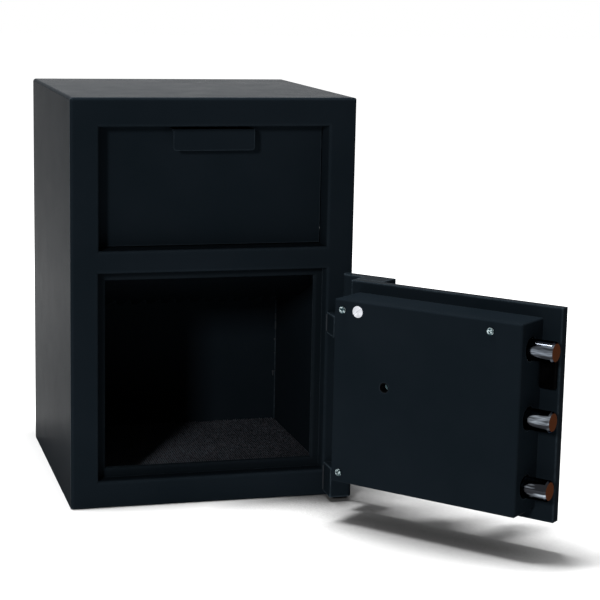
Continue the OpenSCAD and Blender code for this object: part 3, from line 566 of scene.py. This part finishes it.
@dataclass(frozen=True)
class DialEnamel:
    """Hard gloss enamel, black for the dial and white for its marks."""

    name: str
    colour: Colour
    dust: Colour
    roughness: Span = (0.16, 0.32)
    dust_scale: float = 70.0
    touch_scale: float = 130.0
    skin_scale: float = 420.0
    skin_depth: float = 0.03 * MM
    specular: float = 0.15

    def make(self) -> bpy.types.Material:
        """Lays out the enamel's nodes.

        Returns:
            The material.
        """
        r = Recipe(self.name)
        dusty = r.level(r.noise(self.dust_scale, 5.0, 0.7), (0.45, 0.8), (0.0, 0.7))
        tone = r.blend(dusty, self.colour, self.dust)
        r.relief(r.noise(self.skin_scale, 3.0), self.skin_depth)
        gloss = r.level(r.noise(self.touch_scale, 4.0), (0.3, 0.75), self.roughness)
        return r.dress(Base_Color=tone, Roughness=gloss, Specular_IOR_Level=self.specular)


class Finish(Enum):
    """Every finish on the safe, by the record's slot that it stands for."""

    BODY = "body_paint"
    INNER = "inner_paint"
    CHROME = "chrome"
    BRIGHT = "bright_steel"
    DARK = "dark_steel"
    LOCK = "lock_metal"
    BRASS = "brass"
    CARPET = "carpet"
    RUBBER = "rubber"
    DIAL = "dial_black"


class FinishBook:
    """Makes each finish once and hands it out."""

    def __init__(self) -> None:
        """Makes all the finishes."""
        # Painted reflection: the bolts' near-black lengthwise bands and the low rim tint stand in
        # for dark surroundings mirrored in the chrome.
        chrome = Plating(
            "bolt_chrome", (0.34, 0.38, 0.43), (0.018, 0.019, 0.022), (0.03, 0.09),
            turn=DOOR_ANGLE, streak=(0.12, 0.12, 1.0), streak_scale=150.0, smears=(0.49, 0.66),
            tip=(0.060, 0.0185, 0.0070), rim=(0.10, 0.11, 0.13),
        )
        self.made: dict[Finish, bpy.types.Material] = {
            Finish.BODY: TexturedPaint().make(),
            Finish.INNER: TexturedPaint(
                "inner_paint", (0.0036, 0.0055, 0.0073), (0.0046, 0.0067, 0.0088),
                peel_scale=480.0, peel_depth=0.07 * MM, edge=THIN_EDGE,
            ).make(),
            Finish.CHROME: chrome.make(),
            Finish.BRIGHT: Plating(
                "zinc_plate", (0.58, 0.62, 0.66), (0.40, 0.41, 0.42), (0.2, 0.38)
            ).make(),
            Finish.DARK: MillSteel("mill_steel", (0.26, 0.26, 0.27), (0.12, 0.11, 0.10)).make(),
            Finish.LOCK: MillSteel(
                "cast_lock_case", (0.42, 0.40, 0.36), (0.24, 0.22, 0.19), (0.4, 0.6)
            ).make(),
            Finish.BRASS: MillSteel(
                "brass", (0.62, 0.42, 0.16), (0.38, 0.24, 0.09), (0.22, 0.42)
            ).make(),
            Finish.CARPET: RibbedPile().make(),
            Finish.RUBBER: Rubber().make(),
            Finish.DIAL: DialEnamel(
                "dial_enamel", (0.005, 0.005, 0.006), (0.014, 0.014, 0.015)
            ).make(),
        }
        handle = Plating(
            "handle_chrome", (0.34, 0.36, 0.39), (0.20, 0.21, 0.23), (0.05, 0.16)
        ).make()
        # Painted reflection: the screws' near-black teal smears stand in for dark surroundings
        # mirrored in the plating.
        screw = Plating(
            "screw_plate", (0.30, 0.36, 0.37), (0.012, 0.026, 0.031), (0.08, 0.2),
            streak_scale=420.0, smears=(0.48, 0.58),
        ).make()
        plug = Plating(
            "plug_plate", (0.44, 0.45, 0.48), (0.34, 0.35, 0.37), (0.2, 0.38), streak_scale=160.0
        ).make()
        # Painted shade: the change-key bush is made near black so the hole reads as dark shade.
        bush = MillSteel(
            "bush_painted_hole_shade", (0.0010, 0.0010, 0.0012), (0.0004, 0.0004, 0.0004),
            metallic=0.0, specular=0.01,
        ).make()
        sheet = TexturedPaint("sheet_paint", wear=0.24, edge=THIN_EDGE).make()
        # Painted shade: a darker copy of the inner paint for the recessed stop frame.
        stop = TexturedPaint(
            "stop_frame_painted_shade", (0.0030, 0.0046, 0.0061), (0.0040, 0.0057, 0.0074)
        ).make()
        # Painted shade: a still darker copy of the inner paint for the baffles deep in the shadowed
        # cavity ceiling.
        baffle = TexturedPaint(
            "baffle_painted_shade", (0.0022, 0.0034, 0.0046), (0.0030, 0.0042, 0.0056),
            wear=0.2, edge=THIN_EDGE,
        ).make()
        # Painted shade: the upper bolt is a darker copy of the same chrome.
        upper_bolt = replace(chrome, name="upper_bolt_chrome_painted_shade", colour=(0.15, 0.17, 0.20)).make()
        self.own: dict[str, bpy.types.Material] = {
            "upper_bolt": upper_bolt,
            "handle_lever": handle,
            "handle_rose": handle,
            "key_hole_bush": bush,
            "cover_screws": screw,
            "cover_plug": plug,
            "toothed_baffle": baffle,
            "rear_baffle": baffle,
            "stop_frame": stop,
            "bolt_cover": sheet,
            "hopper_panel": sheet,
            "pull_lip": sheet,
        }
        self.marks = DialEnamel(
            "dial_marks", (0.75, 0.75, 0.72), (0.5, 0.49, 0.46), (0.3, 0.5)
        ).make()
        self.weld = MillSteel(
            "weld_paint", (0.015, 0.018, 0.022), (0.008, 0.007, 0.007), (0.5, 0.7),
            metallic=0.0, specular=0.12,
        ).make()
        self.key_steel = MillSteel(
            "key_way_steel", (0.07, 0.12, 0.135), (0.04, 0.07, 0.08), metallic=0.0, specular=0.2
        ).make()

    def dress_nodes(self) -> None:
        """Gives every node that comes from the solids its finish, by its slot in the record."""
        slots = {s["node"]: s["material_slot"] for s in frame["record"]["subparts"]}
        for name, node in frame["nodes"].items():
            node.data.materials.clear()
            node.data.materials.append(self.own.get(name) or self.made[Finish(slots[name])])


def deselect() -> None:
    """Leaves edit mode and selects nothing."""
    if bpy.context.object and bpy.context.object.mode != "OBJECT":
        bpy.ops.object.mode_set(mode="OBJECT")
    bpy.ops.object.select_all(action="DESELECT")


class Workpiece:
    """A new piece, shaped from a primitive in edit mode and hung on its body."""

    def __init__(self, name: str, obj: Piece) -> None:
        """Takes over a fresh primitive.

        Args:
            name: The piece's name.
            obj: The primitive's object.
        """
        self.obj = obj
        obj.name = name
        obj.data.name = name
        self.settle()

    @classmethod
    def block(cls, name: str, low: Vector, high: Vector) -> "Workpiece":
        """Starts from a cube between two corners.

        Args:
            name: The piece's name.
            low: The lowest corner.
            high: The highest corner.

        Returns:
            The workpiece.
        """
        deselect()
        bpy.ops.mesh.primitive_cube_add(size=1, location=(low + high) / 2, scale=high - low)
        return cls(name, bpy.context.object)

    @classmethod
    def disc(
        cls, name: str, radius: float, centre: Vector, axis: Axis, depth: float
    ) -> "Workpiece":
        """Starts from a cylinder of 48 sides.

        Args:
            name: The piece's name.
            radius: Its radius.
            centre: Its middle.
            axis: The direction of its axis.
            depth: Its length.

        Returns:
            The workpiece.
        """
        turns = {Axis.X: (0, math.pi / 2, 0), Axis.Y: (math.pi / 2, 0, 0), Axis.Z: (0, 0, 0)}
        deselect()
        bpy.ops.mesh.primitive_cylinder_add(
            vertices=48, radius=radius, depth=depth, location=centre, rotation=turns[axis]
        )
        return cls(name, bpy.context.object)

    @classmethod
    def grid(cls, name: str, low: Vector, high: Vector, cells: tuple[int, int]) -> "Workpiece":
        """Starts from a level grid at the height of the lower corner.

        Args:
            name: The piece's name.
            low: The lowest corner.
            high: The highest corner.
            cells: Number of cells each way.

        Returns:
            The workpiece.
        """
        middle = (low + high) / 2
        deselect()
        bpy.ops.mesh.primitive_grid_add(
            x_subdivisions=cells[0], y_subdivisions=cells[1], size=1,
            location=(middle.x, middle.y, low.z),
        )
        bpy.context.object.scale = (high.x - low.x, high.y - low.y, 1)
        return cls(name, bpy.context.object)

    @classmethod
    def writing(cls, name: str, words: str, size: float, depth: float) -> "Workpiece":
        """Starts from raised figures that lie level round the origin.

        Args:
            name: The piece's name.
            words: What is written.
            size: The type's size.
            depth: Its full thickness.

        Returns:
            The workpiece.
        """
        deselect()
        bpy.ops.object.text_add()
        text = bpy.context.object
        text.data.body = words
        text.data.size = size
        text.data.extrude = depth / 2
        text.data.align_x = "CENTER"
        text.data.align_y = "CENTER"
        bpy.ops.object.convert(target="MESH")
        return cls(name, bpy.context.object)

    def place(self, where: Matrix) -> "Workpiece":
        """Moves and turns the whole piece, and puts that into its mesh.

        Args:
            where: The move and turn.

        Returns:
            The workpiece.
        """
        self.obj.matrix_world = where
        self.settle()
        return self

    def take_in(self, others: Sequence["Workpiece"]) -> "Workpiece":
        """Joins other workpieces to this one.

        Args:
            others: What is joined.

        Returns:
            The workpiece.
        """
        deselect()
        for other in others:
            other.obj.select_set(True)
        self.obj.select_set(True)
        bpy.context.view_layer.objects.active = self.obj
        bpy.ops.object.join()
        return self

    def cut(self, place: Vector, way: Sequence[float]) -> "Workpiece":
        """Cuts new edges round the whole mesh along a plane.

        Args:
            place: A point of the plane.
            way: The plane's direction.

        Returns:
            The workpiece.
        """
        self.pick_all()
        bpy.ops.mesh.bisect(plane_co=place, plane_no=way)
        return self

    def divide(self, cuts: int) -> "Workpiece":
        """Cuts every edge of the mesh into equal parts.

        Args:
            cuts: Number of cuts in each edge.

        Returns:
            The workpiece.
        """
        self.pick_all()
        bpy.ops.mesh.subdivide(number_cuts=cuts)
        return self

    def settle(self) -> None:
        """Puts the object's place, turn and scale into its mesh."""
        deselect()
        self.obj.select_set(True)
        bpy.context.view_layer.objects.active = self.obj
        bpy.ops.object.transform_apply(location=True, rotation=True, scale=True)

    def edit(self, mode: str) -> None:
        """Opens edit mode with nothing selected.

        Args:
            mode: VERT, EDGE or FACE.
        """
        bpy.context.view_layer.objects.active = self.obj
        bpy.ops.object.mode_set(mode="EDIT")
        bpy.ops.mesh.select_mode(type=mode)
        bpy.ops.mesh.select_all(action="DESELECT")
        bpy.ops.object.mode_set(mode="OBJECT")

    def pick_faces(self, test: Callable[[Vector, Vector], bool]) -> "Workpiece":
        """Selects faces by their centre and normal, and opens edit mode.

        Args:
            test: Says whether a face counts.

        Returns:
            The workpiece.
        """
        self.edit("FACE")
        for face in self.obj.data.polygons:
            face.select = test(face.center, face.normal)
        bpy.ops.object.mode_set(mode="EDIT")
        return self

    def pick_points(self, test: Callable[[Vector], bool]) -> "Workpiece":
        """Selects points by their place, and opens edit mode.

        Args:
            test: Says whether a point counts.

        Returns:
            The workpiece.
        """
        self.edit("VERT")
        for point in self.obj.data.vertices:
            point.select = test(point.co)
        bpy.ops.object.mode_set(mode="EDIT")
        return self

    def move(self, way: Sequence[float]) -> "Workpiece":
        """Moves what is picked by an offset."""
        bpy.ops.transform.translate(value=way)
        return self

    def ruffle(self, reach: float, seed: int) -> "Workpiece":
        """Moves the picked points by chance, at most as far as the reach."""
        bpy.ops.transform.vertex_random(offset=reach, uniform=1.0, seed=seed)
        return self

    def pick_all(self) -> "Workpiece":
        """Selects the whole mesh and opens edit mode."""
        return self.pick_faces(lambda centre, normal: True)

    def extrude(self, way: Sequence[float]) -> "Workpiece":
        """Draws the picked faces out by an offset."""
        bpy.ops.mesh.extrude_region_move(TRANSFORM_OT_translate={"value": way})
        return self

    def inset(self, width: float) -> "Workpiece":
        """Insets the picked faces by the width of a rim."""
        bpy.ops.mesh.inset(thickness=width, depth=0.0)
        return self

    def soften(self, width: float, segments: int = 3, angle: float = 35.0) -> "Workpiece":
        """Rounds all sharp edges with an applied bevel.

        Args:
            width: Width of the round.
            segments: Steps across it.
            angle: Edges sharper than this, in degrees, are rounded.

        Returns:
            The workpiece.
        """
        deselect()
        bpy.context.view_layer.objects.active = self.obj
        bevel = self.obj.modifiers.new("soft_edges", "BEVEL")
        bevel.width = width
        bevel.segments = segments
        bevel.limit_method = "ANGLE"
        bevel.angle_limit = math.radians(angle)
        bpy.ops.object.modifier_apply(modifier=bevel.name)
        return self

    def finish(
        self, material: bpy.types.Material, slot: Finish, body: Body, on_door: bool = False
    ) -> Piece:
        """Dresses the piece, shades it and hangs it on its body.

        Args:
            material: Its finish.
            slot: The record's slot that it stands for; not used.
            body: The body that it rides on.
            on_door: Whether it was drawn on the shut door.

        Returns:
            The finished object.
        """
        deselect()
        self.obj.select_set(True)
        bpy.context.view_layer.objects.active = self.obj
        if on_door:
            self.obj.matrix_world = door_swing()
            self.settle()
            self.obj.select_set(True)
        bpy.ops.object.mode_set(mode="EDIT")
        bpy.ops.mesh.select_all(action="SELECT")
        bpy.ops.mesh.normals_make_consistent(inside=False)
        bpy.ops.object.mode_set(mode="OBJECT")
        bpy.ops.object.shade_smooth_by_angle(angle=SMOOTH_ANGLE)
        self.obj.data.materials.clear()
        self.obj.data.materials.append(material)
        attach(self.obj, body.value)
        log.info("%s: %d faces on %s", self.obj.name, len(self.obj.data.polygons), body.value)
        return self.obj


@dataclass(frozen=True)
class Carpet:
    """The ribbed carpet on the cavity's floor, its cut edges a little frayed."""

    pitch: float = 3.0 * MM
    rib_h: float = 1.5 * MM
    flank: float = 0.65
    columns: int = 4
    rows: int = 72
    fray: float = 1.1 * MM
    fuzz: float = 0.35 * MM
    inset: float = 1.2 * MM

    def row(self, across: float, step: float) -> int:
        """The row of its rib that a point lies in: 0 in the valley, 2 on the crest."""
        return round(across / step) % self.columns

    def at_rim(self, point: Vector, low: Vector, high: Vector, step: float) -> bool:
        """Whether a point lies on the carpet's cut edge, nearer to it than half a row."""
        sides = (point.x - low.x, high.x - point.x, point.y - low.y, high.y - point.y)
        return min(sides) < step / 2

    def build(self, finishes: FinishBook) -> Piece:
        """Shapes the carpet over the place of its plain solid.

        Args:
            finishes: The safe's finishes.

        Returns:
            The carpet.
        """
        low, high = (Vector(corner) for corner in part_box("carpet"))
        low += Vector((self.inset, self.inset, 0))
        high -= Vector((self.inset, self.inset, 0))
        ribs = round((high.x - low.x) / self.pitch)
        step = (high.x - low.x) / (ribs * self.columns)
        valley = high.z - self.rib_h
        cells = (ribs * self.columns, self.rows)
        cloth = Workpiece.grid("ribbed_carpet", Vector((low.x, low.y, valley)), high, cells)
        cloth.pick_points(lambda point: self.row(point.x - low.x, step) == 2)
        cloth.move((0, 0, self.rib_h))
        cloth.pick_points(lambda point: self.row(point.x - low.x, step) % 2 == 1)
        cloth.move((0, 0, self.flank * self.rib_h))
        cloth.pick_points(lambda point: not self.at_rim(point, low, high, step))
        cloth.ruffle(self.fuzz, 4)
        cloth.pick_points(lambda point: self.at_rim(point, low, high, step)).ruffle(self.fray, 9)
        cloth.pick_all().extrude((0, 0, low.z - valley))
        piece = cloth.finish(finishes.made[Finish.CARPET], Finish.CARPET, Body.SAFE)
        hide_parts("carpet")
        return piece


@dataclass(frozen=True)
class StopPad:
    """The moulded rubber pad by the upper bolt, with a groove down its face."""

    low: Vector = at_front(-139, 12.7, 197.3)
    high: Vector = at_front(-120, 20.7, 231.3)
    groove: Span = (-137.0 * MM, -131.5 * MM)
    groove_depth: float = 1.6 * MM
    rings: Sequence[float] = (0.2, 0.4, 0.6, 0.8)
    sag: float = 0.25 * MM
    edge: float = 1.1 * MM

    def build(self, finishes: FinishBook) -> Piece:
        """Shapes the pad over the place of its plain solid.

        Args:
            finishes: The safe's finishes.

        Returns:
            The pad.
        """
        pad = Workpiece.block("moulded_stop_pad", self.low, self.high)
        for x in self.groove:
            pad.cut(Vector((x, 0, 0)), (1, 0, 0))
        pad.pick_faces(
            lambda centre, normal: normal.y > 0.9 and self.groove[0] < centre.x < self.groove[1]
        ).extrude((0, -self.groove_depth, 0))
        for share in self.rings:
            pad.cut(self.low.lerp(self.high, share), (0, 0, 1))
        top = self.low.y + self.sag
        pad.pick_points(lambda point: self.low.z < point.z < self.high.z and point.y > top)
        pad.move((0, -self.sag, 0)).ruffle(self.sag, 3)
        pad.soften(self.edge)
        piece = pad.finish(finishes.made[Finish.RUBBER], Finish.RUBBER, Body.DOOR, on_door=True)
        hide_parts("stop_pad")
        return piece


@dataclass(frozen=True)
class KeyWay:
    """The bright bottom of the change-key hole, with the way for the key sunk in it."""

    centre: Vector = at_front(60, 51, 178.2)
    radius: float = 4.8 * MM
    depth: float = 6.0 * MM
    rim: float = 1.1 * MM
    sink: float = 3.5 * MM
    edge: float = 0.3 * MM

    def build(self, finishes: FinishBook) -> Piece:
        """Adds the bottom of the hole.

        Args:
            finishes: The safe's finishes.

        Returns:
            The new piece.
        """
        bottom = Workpiece.disc("change_key_way", self.radius, self.centre, Axis.Y, self.depth)
        bottom.pick_faces(lambda centre, normal: normal.y > 0.9)
        bottom.inset(self.rim).extrude((0, -self.sink, 0))
        bottom.soften(self.edge, 2)
        return bottom.finish(finishes.key_steel, Finish.BRIGHT, Body.DOOR, on_door=True)


@dataclass(frozen=True)
class WeldBead:
    """One drop or short run of weld: its middle, counted from the front face, and its size."""

    middle: tuple[float, float, float]
    size: tuple[float, float, float]


@dataclass(frozen=True)
class WeldBeads:
    """The weld that shows in the cavity's back corner and at the hinge lugs."""

    beads: Sequence[WeldBead] = (
        WeldBead((170.9, 349.0, 182.0), (1.2, 1.2, 2.6)),
        WeldBead((170.9, 349.0, 165.0), (1.8, 1.6, 9.0)),
        WeldBead((171.2, 349.0, 152.0), (2.2, 1.8, 12.5)),
        WeldBead((170.6, 349.0, 131.0), (3.2, 2.0, 2.4)),
        WeldBead((170.6, 349.0, 111.0), (3.0, 2.0, 1.8)),
        WeldBead((169.4, 349.0, 83.5), (5.4, 2.0, 1.8)),
        WeldBead((168.2, 348.8, 79.5), (2.0, 1.8, 5.0)),
        WeldBead((145.1, -0.7, 24.0), (1.6, 1.6, 31.0)),
        WeldBead((145.1, -0.7, 226.0), (1.6, 1.6, 21.0)),
        WeldBead((160.0, -0.7, 5.6), (27.0, 1.6, 1.6)),
    )
    unevenness: float = 0.12
    round_off: float = 0.42

    def bead(self, number: int, form: WeldBead) -> Workpiece:
        """Shapes one bead as a rounded lump with an uneven skin.

        Args:
            number: Its number, which also seeds its unevenness.
            form: Its place and size.

        Returns:
            The workpiece.
        """
        middle = at_front(*form.middle)
        half = Vector(form.size) * MM / 2
        lump = Workpiece.block(f"weld_bead_{number:02d}", middle - half, middle + half)
        lump.divide(2)
        lump.ruffle(self.unevenness * min(half), number)
        lump.soften(self.round_off * min(half), 2, 50.0)
        return lump

    def build(self, finishes: FinishBook) -> Piece:
        """Adds the beads as one piece.

        Args:
            finishes: The safe's finishes.

        Returns:
            The new piece.
        """
        first, *rest = [self.bead(number, form) for number, form in enumerate(self.beads)]
        first.take_in(rest).obj.name = "weld_beads"
        return first.finish(finishes.weld, Finish.DARK, Body.SAFE)


@dataclass(frozen=True)
class DialMarks:
    """The lines and numbers on the dial's sloping rim, and the index line on its ring."""

    centre: Vector = at_front(33, 0, 178.2)
    rim_r: float = 36 * MM
    rim_y: float = FRONT_Y - 8.5 * MM
    rim_slope: float = math.atan2(3.5, 8.0)
    ring_r: float = 37 * MM
    ring_y: float = FRONT_Y - 9.0 * MM
    ring_slope: float = math.atan2(6.0, 5.0)
    hundred: int = 100
    line_step: int = 2
    line_w: float = 0.42 * MM
    line_in: float = 0.3 * MM
    short_line: float = 1.8 * MM
    long_line: float = 2.9 * MM
    index_w: float = 0.8 * MM
    index_span: Span = (0.6 * MM, 6.2 * MM)
    label_step: int = 10
    label_in: float = 5.6 * MM
    label_size: float = 4.8 * MM
    proud: float = 0.12 * MM

    def spot(self, number: float, radius: float, y: float, slope: float) -> Matrix:
        """A place on the dial's face whose Z runs outward along the slope.

        Args:
            number: How far round it is, from 0 to 99.
            radius: Its distance from the dial's axis.
            y: Its depth.
            slope: How steeply the face falls back towards the rim.

        Returns:
            The place and its turn.
        """
        middle = Matrix.Translation((self.centre.x, y, self.centre.z))
        turn = Matrix.Rotation(math.tau * number / self.hundred, 4, "Y")
        return middle @ turn @ Matrix.Translation((0, 0, radius)) @ Matrix.Rotation(-slope, 4, "X")

    def line(self, name: str, width: float, span: Span, where: Matrix) -> Workpiece:
        """One raised line, its span counted along the slope from a place."""
        low = Vector((-width / 2, -self.proud, span[0]))
        return Workpiece.block(name, low, Vector((width / 2, 2 * self.proud, span[1]))).place(where)

    def lines(self) -> list[Workpiece]:
        """The dial's lines, one for every other number, with longer ones at the tens.

        Returns:
            The lines.
        """
        marks = []
        for number in range(0, self.hundred, self.line_step):
            length = self.short_line if number % self.label_step else self.long_line
            span = (-self.line_in - length, -self.line_in)
            where = self.spot(number, self.rim_r, self.rim_y, self.rim_slope)
            marks.append(self.line(f"dial_line_{number:02d}", self.line_w, span, where))
        return marks

    def labels(self) -> list[Workpiece]:
        """The plain numbers from 0 to 90, upright at the top of the dial.

        Returns:
            The numbers.
        """
        marks = []
        stand = Matrix.Translation((0, 0, -self.label_in)) @ Matrix.Rotation(math.pi / 2, 4, "X")
        for number in range(0, self.hundred, self.label_step):
            where = self.spot(number, self.rim_r, self.rim_y, self.rim_slope)
            name = f"dial_number_{number:02d}"
            label = Workpiece.writing(name, str(number), self.label_size, 2 * self.proud)
            marks.append(label.place(where @ stand))
        return marks

    def build(self, finishes: FinishBook) -> list[Piece]:
        """Adds the marks.

        Args:
            finishes: The safe's finishes.

        Returns:
            The marks of the dial and the index line of its ring.
        """
        first, *rest = self.lines() + self.labels()
        first.take_in(rest).obj.name = "dial_marks"
        where = self.spot(0, self.ring_r, self.ring_y, self.ring_slope)
        index = self.line("dial_index_line", self.index_w, self.index_span, where)
        index.soften(self.proud / 2, 1)
        return [
            first.finish(finishes.marks, Finish.DIAL, Body.DIAL, on_door=True),
            index.finish(finishes.marks, Finish.DIAL, Body.DOOR, on_door=True),
        ]


@dataclass(frozen=True)
class Lamp:
    """A soft rectangular lamp that faces a point on the safe."""

    name: str
    place: Sequence[float]
    target: Sequence[float]
    size: Span
    power: float

    def hang(self) -> None:
        """Adds the lamp to the scene."""
        data = bpy.data.lights.new(self.name, "AREA")
        data.shape = "RECTANGLE"
        data.size, data.size_y = self.size
        data.energy = self.power
        lamp = bpy.data.objects.new(self.name, data)
        lamp.location = self.place
        way = Vector(self.target) - Vector(self.place)
        lamp.rotation_euler = way.to_track_quat("-Z", "Y").to_euler()
        bpy.context.scene.collection.objects.link(lamp)


@dataclass(frozen=True)
class Studio:
    """The floor, the surround, the two lamps and the camera of the photograph.

    The camera's place, turn and lens were solved from seven corners of the safe's body.
    """

    camera_place: Sequence[float] = (-0.4760995, -2.0953702 + FRONT_Y, 0.6622631)
    yaw: float = 0.27260
    pitch: float = 0.18470
    roll: float = 0.02060
    focal_px: float = 1768.1471
    image_px: float = 600.0
    sensor_mm: float = 36.0
    lamps: Sequence[Lamp] = (
        Lamp("key_lamp", (-1.80, -3.0, 1.365), (0.0, -0.1, 0.22), (0.34, 0.40), 90.0),
        Lamp("top_lamp", (-0.15, -0.09, 2.5), (-0.15, -0.09, 0.0), (1.1, 0.36), 118.0),
    )
    sky: float = 0.09
    floor_size: float = 30.0
    floor_drop: float = 0.2 * MM
    floor_tones: tuple[Colour, Colour] = ((0.79, 0.79, 0.79), (0.81, 0.81, 0.81))
    glow_radii: Span = (0.58, 1.4)
    shade_reach: float = 0.16
    shade_span: Span = (0.45, 0.98)
    shade_tone: Colour = (0.12, 0.12, 0.12)
    shade_radii: Span = (0.20, 0.30)
    under_door: Sequence[float] = (0.265, -0.315, 0.0)

    def camera(self) -> None:
        """Sets the camera at the photograph's place, turn and lens."""
        yaw, pitch = self.yaw, self.pitch
        level = math.cos(pitch)
        ahead = Vector((math.sin(yaw) * level, math.cos(yaw) * level, -math.sin(pitch)))
        right = Vector((math.cos(yaw), -math.sin(yaw), 0))
        up = right.cross(ahead)
        c, s = math.cos(self.roll), math.sin(self.roll)
        right, up = c * right + s * up, c * up - s * right
        data = bpy.data.cameras.new("photo_camera")
        data.sensor_width = self.sensor_mm
        data.lens = self.focal_px / self.image_px * self.sensor_mm
        camera = bpy.data.objects.new("photo_camera", data)
        turn = Matrix((right, up, -ahead)).transposed().to_4x4()
        camera.matrix_world = Matrix.Translation(Vector(self.camera_place)) @ turn
        bpy.context.scene.collection.objects.link(camera)
        bpy.context.scene.camera = camera

    def floor(self) -> None:
        """Lays a pale floor that keeps the safe's shadow and is white further out.

        Its colour darkens close under the safe, a painted contact shadow from occlusion that the
        camera sees only round the open door and mirrors see all round; bounced light doesn't see
        it. It glows to the camera, mirrors and glass from a little way off.
        """
        deselect()
        bpy.ops.mesh.primitive_plane_add(size=self.floor_size, location=(0, 0, -self.floor_drop))
        floor = bpy.context.object
        floor.name = "studio_floor"
        r = Recipe("studio_floor")
        path = r.add("ShaderNodeLightPath").outputs
        # Painted shadow: the floor's colour turns to the shade tone where the safe above blocks the
        # sky nearby.
        above = r.add("ShaderNodeAmbientOcclusion", samples=8)
        r.put(above.inputs["Distance"], self.shade_reach)
        away = self.away_from(r, self.under_door)
        plain = r.math("MULTIPLY", path["Is Camera Ray"], r.level(away, self.shade_radii))
        open_air = r.level(above.outputs["AO"], self.shade_span)
        free = r.math("MAXIMUM", r.math("MAXIMUM", plain, open_air), path["Is Diffuse Ray"])
        pale = r.blend(r.noise(3.0, 2.0), *self.floor_tones)
        tone = r.blend(free, self.shade_tone, pale)
        glow = r.level(self.away_from(r, (0, 0, 0)), self.glow_radii)
        light = r.add("ShaderNodeEmission")
        r.put(light.inputs["Strength"], r.math("MULTIPLY", glow, self.looked_at(r)))
        both = r.add("ShaderNodeAddShader")
        r.put(both.inputs[0], r.surface.outputs[0])
        r.put(both.inputs[1], light.outputs[0])
        r.put(r.output.inputs["Surface"], both.outputs[0])
        finish = r.dress(Base_Color=tone, Roughness=0.9, Specular_IOR_Level=0.0)
        floor.data.materials.append(finish)

    def away_from(self, recipe: "Recipe", spot: Sequence[float]) -> Socket:
        """How far a point of the floor is from a spot.

        Args:
            recipe: The node tree that asks.
            spot: The spot.

        Returns:
            The distance in metres.
        """
        length = recipe.add("ShaderNodeVectorMath", operation="LENGTH")
        recipe.put(length.inputs[0], recipe.stretched((1, 1, 1), shift=[-v for v in spot]))
        return length.outputs["Value"]

    def looked_at(self, recipe: "Recipe") -> Socket:
        """Where the camera looks, straight, in a mirror or through glass.

        Args:
            recipe: The node tree that asks.

        Returns:
            1 for camera, glossy and transmission rays, 0 for the rest.
        """
        path = recipe.add("ShaderNodeLightPath").outputs
        mirrored = recipe.math("ADD", path["Is Glossy Ray"], path["Is Transmission Ray"])
        return recipe.level(recipe.math("ADD", path["Is Camera Ray"], mirrored), FULL)

    def sky_dome(self) -> None:
        """Sets the surround: white where it is looked at, and a faint fill light."""
        world = bpy.data.worlds.new("studio_surround")
        world.use_nodes = True
        bpy.context.scene.world = world
        r = Recipe.over(world.node_tree)
        background = r.add("ShaderNodeBackground")
        background.inputs["Color"].default_value = (1, 1, 1, 1)
        strength = r.level(self.looked_at(r), FULL, (self.sky, 1.0))
        r.put(background.inputs["Strength"], strength)
        r.put(r.add("ShaderNodeOutputWorld").inputs["Surface"], background.outputs[0])

    def build(self) -> None:
        """Sets up the whole studio."""
        scene = bpy.context.scene
        scene.view_settings.view_transform = "Standard"
        self.floor()
        self.sky_dome()
        for lamp in self.lamps:
            lamp.hang()
        self.camera()
        log.info("studio ready")


def main() -> None:
    """Builds the studio, dresses the solids and adds the pieces that finish them."""
    logging.basicConfig(level=logging.INFO, format="%(name)s: %(message)s")
    finishes = FinishBook()
    finishes.dress_nodes()
    Carpet().build(finishes)
    StopPad().build(finishes)
    KeyWay().build(finishes)
    WeldBeads().build(finishes)
    DialMarks().build(finishes)
    Studio().build()


if __name__ == "__main__":
    main()
